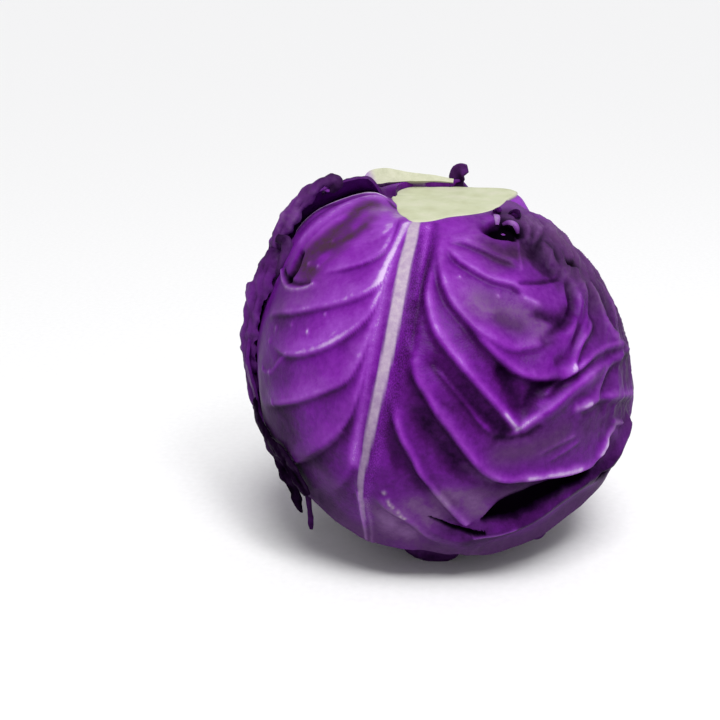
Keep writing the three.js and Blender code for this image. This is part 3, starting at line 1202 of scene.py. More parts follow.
def blank_material(name: str) -> tuple[bpy.types.Material, bpy.types.NodeTree]:
    """Starts a material.

    Args:
        name: its name.

    Returns:
        The material, and its node tree without nodes.
    """
    material = bpy.data.materials.new(name)
    material.use_nodes = True
    material.node_tree.nodes.clear()
    return material, material.node_tree


def add_node(
    tree: bpy.types.NodeTree,
    kind: str,
    inputs: dict[str | int, object] | None = None,
    stops: tuple[tuple[float, str], ...] = (),
    **settings: object,
) -> bpy.types.Node:
    """Adds a node with its settings and links.

    Args:
        tree: the node tree.
        kind: the node's type.
        inputs: for each input, by name or number, a socket to link or a value to set.
        stops: for a colour ramp, its positions and sRGB colours.
        settings: the node's own properties.

    Returns:
        The node.
    """
    node = tree.nodes.new(kind)
    for name, value in settings.items():
        setattr(node, name, value)
    for key, value in (inputs or {}).items():
        if isinstance(value, bpy.types.NodeSocket):
            tree.links.new(value, node.inputs[key])
        else:
            node.inputs[key].default_value = value
    if stops:
        elements = node.color_ramp.elements
        while len(elements) < len(stops):
            elements.new(0.5)
        for element, (position, code) in zip(elements, stops):
            element.position = position
            element.color = colour(code)
    return node


def per_mm(size: float) -> float:
    """The scale of a pattern on Object coordinates whose cells are size mm."""
    return 1.0 / (size * MM)


@dataclass(frozen=True)
class LeafSkin:
    """Red cabbage leaf, grown: thin pigmented skin with wax bloom over pale flesh.

    It gives the eye a deep violet, a grey waxy film towards the margins, and soft highlights that are
    stronger where the skin is bright. The lilac over the veins and the near-black of creases and hollows
    are painted highlight and painted shade, carried by the tone tint.
    """

    name: str
    roughness: float = 0.42
    bump: float = 0.3
    # From near-black for painted shade in hollows, through the skin's violet, to pale lilac for painted
    # highlights.
    pigment: tuple[tuple[float, str], ...] = (
        (0.0, "#040106"), (0.18, "#1d0428"), (0.34, "#3e0751"), (0.5, "#600f80"),
        (0.64, "#78209a"), (0.8, "#8e40b2"), (1.0, "#c9aed8"),
    )
    waxed: tuple[tuple[float, str], ...] = (
        (0.0, "#0b060e"), (0.25, "#2a1534"), (0.5, "#512a60"), (0.75, "#785288"), (1.0, "#b3a2bd"),
    )

    def make(self) -> bpy.types.Material:
        """The material, driven by the tints at the vertices and by noise on Object coordinates.

        Returns:
            The material.
        """
        material, tree = blank_material(self.name)
        place = add_node(tree, "ShaderNodeTexCoord").outputs["Object"]
        tint = {
            t: add_node(tree, "ShaderNodeAttribute", attribute_name=t.value).outputs["Fac"] for t in Tint
        }
        grid = add_node(tree, "ShaderNodeAttribute", attribute_name="grid_mm").outputs["Vector"]

        # Fine specks of paler cells line up beside the midrib, about 0.35 mm wide and 0.7 mm long.
        stretched = add_node(
            tree, "ShaderNodeMapping", {"Vector": grid, "Scale": (2.8, 1.4, 1.0)}
        ).outputs["Vector"]
        streaks = add_node(
            tree, "ShaderNodeTexNoise", {"Vector": stretched, "Scale": 1.0, "Detail": 2.0, "Roughness": 0.5}
        ).outputs["Fac"]
        # Cell clusters mottle the pigment at about 2.5 mm and 0.7 mm.
        mottle = add_node(
            tree, "ShaderNodeTexNoise",
            {"Vector": place, "Scale": per_mm(2.5), "Detail": 4.0, "Roughness": 0.65}
        ).outputs["Fac"]
        fine = add_node(
            tree, "ShaderNodeTexNoise",
            {"Vector": place, "Scale": per_mm(0.7), "Detail": 2.0, "Roughness": 0.5}
        ).outputs["Fac"]
        speckle = add_node(
            tree, "ShaderNodeMapRange",
            {"Value": streaks, "From Min": 0.38, "From Max": 0.62, "To Min": -0.02, "To Max": 0.13}
        ).outputs["Result"]
        grained = add_node(
            tree, "ShaderNodeMath", {0: speckle, 1: tint[Tint.GRAIN], 2: tint[Tint.TONE]},
            operation="MULTIPLY_ADD"
        ).outputs[0]
        soft = add_node(
            tree, "ShaderNodeMapRange",
            {"Value": mottle, "From Min": 0.3, "From Max": 0.7, "To Min": -0.05, "To Max": 0.05}
        ).outputs["Result"]
        tone = add_node(tree, "ShaderNodeMath", {0: grained, 1: soft}, operation="ADD").outputs[0]
        pigment = add_node(tree, "ShaderNodeValToRGB", {0: tone}, self.pigment).outputs["Color"]
        waxed = add_node(tree, "ShaderNodeValToRGB", {0: tone}, self.waxed).outputs["Color"]
        patchy = add_node(
            tree, "ShaderNodeMapRange",
            {"Value": mottle, "From Min": 0.25, "From Max": 0.75, "To Min": 0.6, "To Max": 1.35}
        ).outputs["Result"]
        bloom = add_node(
            tree, "ShaderNodeMath", {0: tint[Tint.BLOOM], 1: patchy}, operation="MULTIPLY", use_clamp=True
        ).outputs[0]
        coated = add_node(
            tree, "ShaderNodeMix", {0: bloom, 6: pigment, 7: waxed}, data_type="RGBA"
        ).outputs[2]
        rubbed = add_node(
            tree, "ShaderNodeMapRange",
            {"Value": mottle, "From Min": 0.38, "From Max": 0.6, "To Min": 0.55, "To Max": 1.0}
        ).outputs["Result"]
        scuff = add_node(
            tree, "ShaderNodeMath", {0: tint[Tint.SCUFF], 1: rubbed}, operation="MULTIPLY", use_clamp=True
        ).outputs[0]
        bruised = add_node(
            tree, "ShaderNodeMix", {0: scuff, 6: coated, 7: colour("#43263f")}, data_type="RGBA"
        ).outputs[2]
        pale = add_node(
            tree, "ShaderNodeValToRGB", {0: mottle}, ((0.3, "#a08aa6"), (0.55, "#b09fb1"), (0.75, "#bdb0b7"))
        ).outputs["Color"]
        ribbed = add_node(
            tree, "ShaderNodeMix", {0: tint[Tint.RIB], 6: bruised, 7: pale}, data_type="RGBA"
        ).outputs[2]
        flesh = add_node(
            tree, "ShaderNodeValToRGB", {0: mottle}, ((0.3, "#b3b59a"), (0.6, "#c3c4ab"), (0.8, "#cccbb8"))
        ).outputs["Color"]
        skin = add_node(
            tree, "ShaderNodeMix", {0: tint[Tint.FLESH], 6: ribbed, 7: flesh}, data_type="RGBA"
        ).outputs[2]

        rough = add_node(
            tree, "ShaderNodeMapRange",
            {"Value": mottle, "From Min": 0.3, "From Max": 0.7, "To Min": self.roughness - 0.06,
             "To Max": self.roughness + 0.1},
        ).outputs["Result"]
        waxy = add_node(tree, "ShaderNodeMath", {0: bloom, 1: 0.08, 2: rough},
                        operation="MULTIPLY_ADD").outputs[0]
        relief = add_node(
            tree, "ShaderNodeMath", {0: mottle, 1: 1.2, 2: fine}, operation="MULTIPLY_ADD"
        ).outputs[0]
        bump = add_node(
            tree, "ShaderNodeBump", {"Strength": self.bump, "Distance": 0.0004, "Height": relief}
        ).outputs["Normal"]
        # Dark, deep skin is dull and taut bright skin shines.
        sheen = add_node(
            tree, "ShaderNodeMapRange",
            {"Value": tone, "From Min": 0.1, "From Max": 0.65, "To Min": 0.0, "To Max": 0.14}
        ).outputs["Result"]
        shader = add_node(
            tree, "ShaderNodeBsdfPrincipled",
            {"Base Color": skin, "Roughness": waxy, "Normal": bump, "Specular IOR Level": sheen},
        ).outputs["BSDF"]
        add_node(tree, "ShaderNodeOutputMaterial", {"Surface": shader})
        return material


@dataclass(frozen=True)
class CutFlesh:
    """Cabbage stalk, knife-cut: wet, pale yellow-green flesh with faint knife lines and a lilac rim."""

    name: str

    def make(self) -> bpy.types.Material:
        """The material, on Object coordinates, with the skin's purple where the flesh tint ends.

        Returns:
            The material.
        """
        material, tree = blank_material(self.name)
        place = add_node(tree, "ShaderNodeTexCoord").outputs["Object"]
        flesh_tint = add_node(tree, "ShaderNodeAttribute", attribute_name=Tint.FLESH.value).outputs["Fac"]
        # Pith and vessels cloud the flesh at about 9 mm; knife lines run about 1 mm apart.
        cloud = add_node(
            tree, "ShaderNodeTexNoise",
            {"Vector": place, "Scale": per_mm(9.0), "Detail": 5.0, "Roughness": 0.55}
        ).outputs["Fac"]
        base = add_node(
            tree, "ShaderNodeValToRGB", {0: cloud},
            ((0.3, "#b6b998"), (0.5, "#bfc3a4"), (0.7, "#c8c8b0")),
        ).outputs["Color"]
        lines = add_node(
            tree, "ShaderNodeMapping", {"Vector": place, "Scale": (per_mm(18.0), per_mm(1.1), per_mm(18.0))}
        ).outputs["Vector"]
        knife = add_node(
            tree, "ShaderNodeTexNoise", {"Vector": lines, "Scale": 1.0, "Detail": 2.0, "Roughness": 0.5}
        ).outputs["Fac"]
        mark = add_node(
            tree, "ShaderNodeMapRange",
            {"Value": knife, "From Min": 0.68, "From Max": 0.8, "To Min": 0.0, "To Max": 0.5}
        ).outputs["Result"]
        marked = add_node(
            tree, "ShaderNodeMix", {0: mark, 6: base, 7: colour("#8e947c")}, data_type="RGBA"
        ).outputs[2]
        edge = add_node(
            tree, "ShaderNodeMix", {0: flesh_tint, 6: colour("#8a5f9c"), 7: marked}, data_type="RGBA"
        ).outputs[2]
        bump = add_node(
            tree, "ShaderNodeBump", {"Strength": 0.12, "Distance": 0.0003, "Height": knife}
        ).outputs["Normal"]
        shader = add_node(
            tree, "ShaderNodeBsdfPrincipled",
            {"Base Color": edge, "Roughness": 0.5, "Normal": bump, "Specular IOR Level": 0.3},
        ).outputs["BSDF"]
        add_node(tree, "ShaderNodeOutputMaterial", {"Surface": shader})
        return material


@dataclass(frozen=True)
class MattePaper:
    """White background paper, matte: it gives the eye an even pale ground and a soft shadow."""

    name: str

    def make(self) -> bpy.types.Material:
        """The material.

        Returns:
            The material, with a faint tooth of about 3 mm.
        """
        material, tree = blank_material(self.name)
        place = add_node(tree, "ShaderNodeTexCoord").outputs["Object"]
        tooth = add_node(tree, "ShaderNodeTexNoise", {"Vector": place, "Scale": per_mm(3.0)}).outputs["Fac"]
        white = add_node(
            tree, "ShaderNodeValToRGB", {0: tooth}, ((0.3, "#f2f2f2"), (0.7, "#f6f6f6"))
        ).outputs["Color"]
        shader = add_node(
            tree, "ShaderNodeBsdfPrincipled",
            {"Base Color": white, "Roughness": 0.95, "Specular IOR Level": 0.1}
        ).outputs["BSDF"]
        add_node(tree, "ShaderNodeOutputMaterial", {"Surface": shader})
        return material


# ---------------------------------------------------------------- this head


def route(*points: tuple[float, float]) -> Route:
    """A route through (azimuth, polar) points."""
    return Route(points)


INNER_BACK = LeafPlan(
    rib=Curve(((20, 150), (150, 146))), tip=150, base_depth=11.4,
    right=Side(Curve(((20, 80), (150, 76))), 26), left=Side(Curve(((20, 80), (150, 78))), 24),
)
INNER_FRONT = LeafPlan(
    rib=Curve(((20, 22), (150, 16))), tip=153, base_depth=8.6,
    right=Side(Curve(((20, 82), (150, 80))), 26), left=Side(Curve(((20, 82), (150, 80))), 26),
)
INNER_LEFT = LeafPlan(
    rib=Curve(((20, -100), (150, -96))), tip=149, base_depth=6.2,
    right=Side(Curve(((20, 76), (150, 72))), 25), left=Side(Curve(((20, 76), (150, 72))), 25),
)
RIGHT = LeafPlan(
    rib=Curve(((20, 116), (70, 112), (135, 104))), tip=136, base_depth=1.2,
    right=Side(Curve(((20, 74), (135, 70))), 34), left=Side(Curve(((20, 70), (135, 76))), 14),
    tip_flare=Flare(0.84, Curve(((-1, 0), (-0.3, 0.5), (0, 1.5), (0.5, 1.5), (1, 0.5)))),
)
FRONT = LeafPlan(
    rib=Curve(((20, -17.5), (68, -17), (94, -20.5), (118, -25.5), (135, -28))), tip=130, base_depth=0.3,
    hem=Curve(((-1, 0), (0, 0.5), (0.2, 3.5), (0.38, 8), (0.55, 16), (0.74, 22), (0.86, 20), (1, 20))),
    ragged=2.0,
    right=Side(
        Curve(((25, 116), (80, 106), (95, 100), (115, 92), (138, 86))), 34,
        flare=Flare(0.86, Curve(((60, 0), (80, 0.4), (100, 0.9)))),
    ),
    left=Side(Curve(((25, 94), (60, 76), (95, 64), (135, 48))), 35, bow=1.15),
    tip_flare=Flare(0.9, Curve(((-0.7, 0), (-0.1, 3), (0.5, 5.5), (0.8, 3.5), (1, 0.5)))),
)
BACK = LeafPlan(
    rib=Curve(((20, -160), (80, -163), (140, -166))), tip=138,
    right=Side(
        Curve(((16, 46), (25, 54), (45, 68), (80, 81), (112, 88))), 17,
        flare=Flare(0.6, Curve(((16, 3), (27, 5), (38, 5), (50, 4.5), (68, 3), (85, 1.5), (110, 0.5)))),
    ),
    left=Side(
        Curve(((16, 34), (30, 44), (55, 74), (130, 80))), 36,
        flare=Flare(0.85, Curve(((30, 0), (60, 1.5), (110, 2)))),
    ),
    stub=Stub(Curve(((-34, 3), (-29, 2.5), (-10, 2.5), (20, 2.5), (29, 2.5), (36, 1.5), (43, -1), (48, -5)))),
)
STACK = (INNER_BACK, INNER_FRONT, INNER_LEFT, RIGHT, FRONT, BACK)

FRONT_RIB = Midrib(
    route((-20.5, 17), (-19.5, 23), (-17, 31), (-16, 39), (-15.3, 48), (-15.3, 58), (-16, 67.5), (-18, 81),
          (-20.3, 92.5), (-23.6, 106), (-25.2, 117), (-28, 128)),
    Curve(((0, 2.6), (14, 4.4), (60, 4.2), (100, 3.0), (125, 1.7), (140, 1.2))), 0.7,
    Curve(((0, 0.95), (30, 0.95), (60, 0.88), (85, 0.68), (108, 0.48), (125, 0.38), (140, 0.1))), 1.0,
)

# the steep veins left of the midrib, from the stalk down, each with a painted highlight on its crest and
# painted shade beneath
LEFT_VEINS = (
    Fold(route((-40, 22), (-34, 27), (-35, 31.5), (-40.5, 34.5)), 0.4, 4, 0.9, 0.08, 0.12, 1.2, end=8),
    Fold(route((-43, 19), (-34, 24.5), (-29, 31.5), (-28.5, 36.5), (-33, 41), (-44, 45.5), (-52, 48.5)),
         0.8, 6, 0.8, 0.16, 0.28, 1.4, start=10, end=12),
    Fold(route((-24.5, 27), (-23.5, 35), (-23.5, 42), (-23.5, 47), (-27, 51), (-34, 54), (-42.5, 57),
               (-55, 61.5), (-64, 64), (-74, 68)), 1.0, 7, 0.9, 0.2, 0.3, 1.8, start=20, end=20),
    Fold(route((-21.8, 36), (-22, 44), (-22.5, 51), (-23.5, 56), (-27, 61), (-32, 65), (-41, 70), (-52, 73),
               (-64, 72)), 1.1, 7, 0.9, 0.24, 0.32, 2.0, start=22, end=20),
    Fold(route((-21.5, 52), (-22.5, 60), (-23.5, 67), (-25, 72), (-28, 76), (-34, 79.5), (-41, 83),
               (-48, 86), (-58, 89.5), (-66, 92)), 1.1, 7, 1.0, 0.24, 0.3, 2.6, start=22, end=20),
    Fold(route((-21.5, 62), (-22.5, 70), (-23.5, 78), (-26.5, 86.5), (-31, 92), (-36, 96.5), (-44, 102),
               (-53, 107), (-60, 110)), 1.1, 7, 1.0, 0.18, 0.32, 3.5, start=24, end=26),
    Fold(route((-22.5, 84), (-24.5, 94), (-27.5, 103), (-33, 109), (-40, 113)), 0.6, 6, 1.4, 0.06, 0.1, 3.0,
         start=14),
)
# the veins and the folds that they turn into right of the midrib, with painted highlights on crests and
# painted shade in grooves and under folds
RIGHT_VEINS = (
    Stroke(route((-4, 21.5), (-6, 36), (-7.5, 47.5), (-8.5, 57.5), (-9, 67)), 1.4, -0.9, tone=-0.14),
    Stroke(route((-13, 28), (-10.5, 43), (-11, 56), (-12, 67), (-13.5, 80)), 1.8, -0.3, tone=-0.1),
    Stroke(route((-9.5, 24), (-8.5, 38), (-9, 50)), 1.2, 0.4, tone=0.14),
    Stroke(route((-14.5, 82), (-15, 88), (-14, 93), (-12.5, 99)), 2.2, -0.7, tone=-0.1),
    Fold(route((0.5, 24), (-2, 31.5), (-4.5, 41), (-5.5, 48), (-4, 54), (-1, 61), (5, 68.5), (10.5, 75),
               (15, 80.5), (22, 89)), 1.5, 3.2, 1.4, 0.2, 0.22, 5.0, start=34, end=2),
    Fold(route((4, 22), (0.5, 29), (-0.5, 37), (1, 44.5), (4, 51), (9, 57), (13, 63), (17, 67.5),
               (21, 71.5), (24.5, 73.6), (30, 75.5), (37, 76), (43, 73.5)), 1.7, 4.0, 1.3, 0.18, 0.28, 4.0,
         start=34, end=4),
    Fold(route((9, 57), (13, 60.5), (18, 64), (22, 66), (29, 66.3), (34, 65.3), (39, 64.3)), 1.0, 4.0, 1.3,
         0.14, 0.14, 2.5, end=6),
    Fold(route((3.5, 31), (9, 37), (16, 41.3), (22, 44.8), (29, 47.8), (32, 51.8)), 1.2, 4.0, 1.0, 0.12,
         0.24, 1.8, end=4),
    Fold(route((3, 28.3), (14, 29), (23, 33), (28.5, 37), (33, 40), (36.5, 42.5)), 1.1, 3.6, 1.3, 0.14, 0.2,
         2.4, end=5),
    Fold(route((-10.5, 59), (-8.5, 67.5), (-7, 73), (-4, 77.7), (-1, 82.5), (3, 88), (6, 92.5), (10, 98),
               (14, 102), (19, 104.3), (24, 104.2), (31, 104.2), (38, 105.3), (45, 105.9), (51, 105.6),
               (55, 102), (59.5, 97)), 1.8, 3.6, 1.6, 0.2, 0.26, 4.0, start=20, end=8),
    Fold(route((-13.5, 77), (-12.7, 85), (-11, 90.5), (-8, 96.5), (-5.5, 102), (-2, 107), (2, 113),
               (7, 120), (10, 123)), 1.3, 2.6, 1.4, 0.22, 0.18, 3.0, start=12, end=3),
    Fold(route((-2.5, 69.5), (0, 72), (3.5, 76), (7.5, 81), (11, 86), (15, 90)), 0.5, 1.4, 0.8, 0.12, 0.1,
         1.5, end=5),
    Fold(route((-20, 109), (-17, 113), (-12, 118), (-9, 121.5), (-5, 126), (3, 131)), 1.0, 3.5, 1.4, 0.1,
         0.14, 2.5),
    Fold(route((22, 89.3), (26, 86.2), (31, 84), (39, 80.2), (50, 77.5), (60, 77)), 2.2, 1.8, 3.6, 0.2, 0.1,
         5.0, start=2, end=10),
    Fold(route((29, 81), (37, 77), (43.5, 75), (52, 72.7)), 0.7, 0.9, 1.2, 0.2, 0.1, 2.0, start=4, end=5),
    Fold(route((57.5, 53), (53.5, 59), (48, 63), (41, 66.5)), 1.5, 1.6, 2.4, 0.16, 0.1, 3.0, end=4),
    Fold(route((57, 61), (55, 65), (47, 69), (42, 73), (39, 76.5)), 1.4, 1.5, 1.5, 0.22, 0.2, 2.0, end=4),
    Fold(route((62, 51), (60.5, 56), (56, 61.5), (50, 66), (44, 71)), 0.9, 1.6, 1.2, 0.1, 0.12, 2.0, end=4),
    Fold(route((68, 52), (66, 60), (64, 65), (64, 69.5), (67, 73)), 1.2, 2.5, 1.5, 0.16, 0.22, 3.0, end=4),
    Fold(route((80, 55), (77, 61), (73.5, 67), (71, 73)), 1.0, 2.5, 1.5, 0.16, 0.14, 3.0, end=4),
    Fold(route((63, 29), (55.5, 32.5), (51, 35)), 0.8, 2.0, 1.1, 0.14, 0.16, 2.0, start=3, end=3),
    Fold(route((75, 32), (66, 33.5), (58, 35), (51, 36.5)), 0.8, 2.4, 1.2, 0.12, 0.16, 2.0, start=4, end=3),
    Fold(route((59, 36), (56.5, 41), (53, 46)), 1.0, 2.5, 1.6, 0.1, 0.2, 3.0, start=3, end=3),
    Fold(route((38, 77), (43.5, 75.2), (50.5, 73.2), (60, 73), (75, 76)), 1.2, 1.8, 1.6, 0.14, 0.14, 2.5,
         end=5),
    Fold(route((79, 79), (71, 77.5), (63, 77), (57, 78), (52, 82), (47.5, 86.5)), 1.5, 2.4, 1.8, 0.14, 0.18,
         3.0, end=3),
    Fold(route((42, 86.5), (47.5, 86), (55, 86.5), (62, 88), (70, 90.5), (77, 92)), 1.4, 3.4, 1.6, 0.16,
         0.12, 5.0, start=3, end=5),
    Fold(route((26, 98), (33, 95.5), (42, 94)), 0.4, 1.0, 0.8, 0.1, 0.08, 1.5, end=4),
    Fold(route((29.5, 100), (37, 98), (44, 96)), 0.4, 1.0, 0.8, 0.1, 0.08, 1.5, end=4),
)
# troughs between the folds, the hollow over the lip, the slit, the bud hole and small tears, sunk and
# darkened with painted shade; the hollow over the lip and the bud hole are painted almost black
HOLLOWS = (
    Stroke(route((-4, 78), (0, 80), (4, 82), (9, 88)), 2.6, -0.8, tone=-0.06),
    Stroke(route((-2, 69), (4, 75.5), (9.5, 81.5), (14, 85.5), (18, 89)), 2.6, -1.2, tone=-0.14),
    Stroke(route((-7, 83), (-4, 88), (-1, 92), (2, 96.5), (6, 101)), 3.0, -1.4, tone=-0.14),
    Stroke(route((-12, 96), (-9, 101), (-5, 106)), 2.8, -0.7, tone=-0.06),
    Stroke(route((18, 72), (20.5, 78), (23.5, 83), (28, 78.5), (35, 77)), 3.2, -2.0, tone=-0.22),
    Stroke(route((36, 72), (43, 70), (48, 65), (52, 58)), 2.2, -1.4, tone=-0.16),
    Stroke(route((54, 52), (50, 58), (44, 62), (38, 63.4), (33, 65.3)), 1.7, -1.4, tone=-0.22),
    Stroke(route((34.5, 58), (41.5, 60)), 2.8, -0.7, tone=-0.16, ragged=0.6),
    Stroke(route((15.5, 91), (20, 91.8), (23.5, 91), (28, 88.8)), 1.1, -0.8, tone=-0.16),
    Stroke(route((15, 120.5), (22, 115.8), (29, 112.6), (35, 110.6), (41, 109.2), (50, 108.6)), 6.0, -3.4,
           tone=-0.56, ragged=0.1, swell=Curve(((0, 0.25), (0.2, 0.9), (0.4, 1), (0.65, 0.6), (1, 0.2))),
           edge=2),
    Stroke(route((-4, 118), (0.5, 121), (5, 124), (11, 125.6), (15.5, 124.8)), 1.0, -1.1, tone=-0.56,
           ragged=0.1, swell=Curve(((0, 0.3), (0.5, 1), (1, 0.5))), edge=2),
    Stroke(route((39.5, 27), (43.5, 28.2), (48.5, 27.8)), 5.4, -4.6, tone=-0.66, bloom=-0.4, ragged=0.35,
           edge=2),
    Stroke(route((52, 21), (60, 21.5), (68, 24)), 3.5, -0.8, tone=-0.22, ragged=0.6),
    Stroke(route((28, 32.5), (32, 37), (38, 37)), 5.2, -0.8, tone=-0.26, bloom=0.4, scuff=0.35),
    Stroke(route((51, 36), (48, 41), (49, 46)), 4.4, -1.4, tone=-0.26, ragged=0.5),
    Stroke(route((35, 57.5), (41, 61), (47, 59)), 2.6, -0.6, tone=-0.14, ragged=0.8),
    Stroke(route((32, 47.8), (40, 48.6), (51, 49.2)), 0.9, -0.9, tone=-0.2),
    Stroke(route((63.5, 46.2), (67, 47.5)), 1.3, -2.0, tone=-0.5),
    Stroke(route((41, 90.5), (48, 93), (57, 96)), 3.2, -0.4, tone=-0.02),
    Stroke(route((57, 112), (63, 112), (69, 108)), 2.0, -2.0, tone=-0.4),
    Stroke(route((-75, 53), (-66, 54.2), (-60, 53.8), (-54.5, 52)), 0.8, -0.8, tone=-0.3),
    Stroke(route((-68, 46.5), (-66, 50.5), (-67, 54)), 1.6, -2.0, tone=-0.5),
    Stroke(route((-81, 16), (-68, 15)), 1.0, tone=-0.3),
)
# the upturned rim below the hollow
LIP = (
    Fold(route((71, 95), (68.5, 98.5), (65.5, 103), (62.5, 107), (58, 109.6), (49, 111), (41, 113.2),
               (35, 116.8), (30, 120.4), (25, 122.2), (16.5, 124.6), (8, 128), (2, 127), (-4, 122),
               (-9, 117)), 2.8, 1.8, 6.0, 0.02, 0.0, start=6, end=12),
)
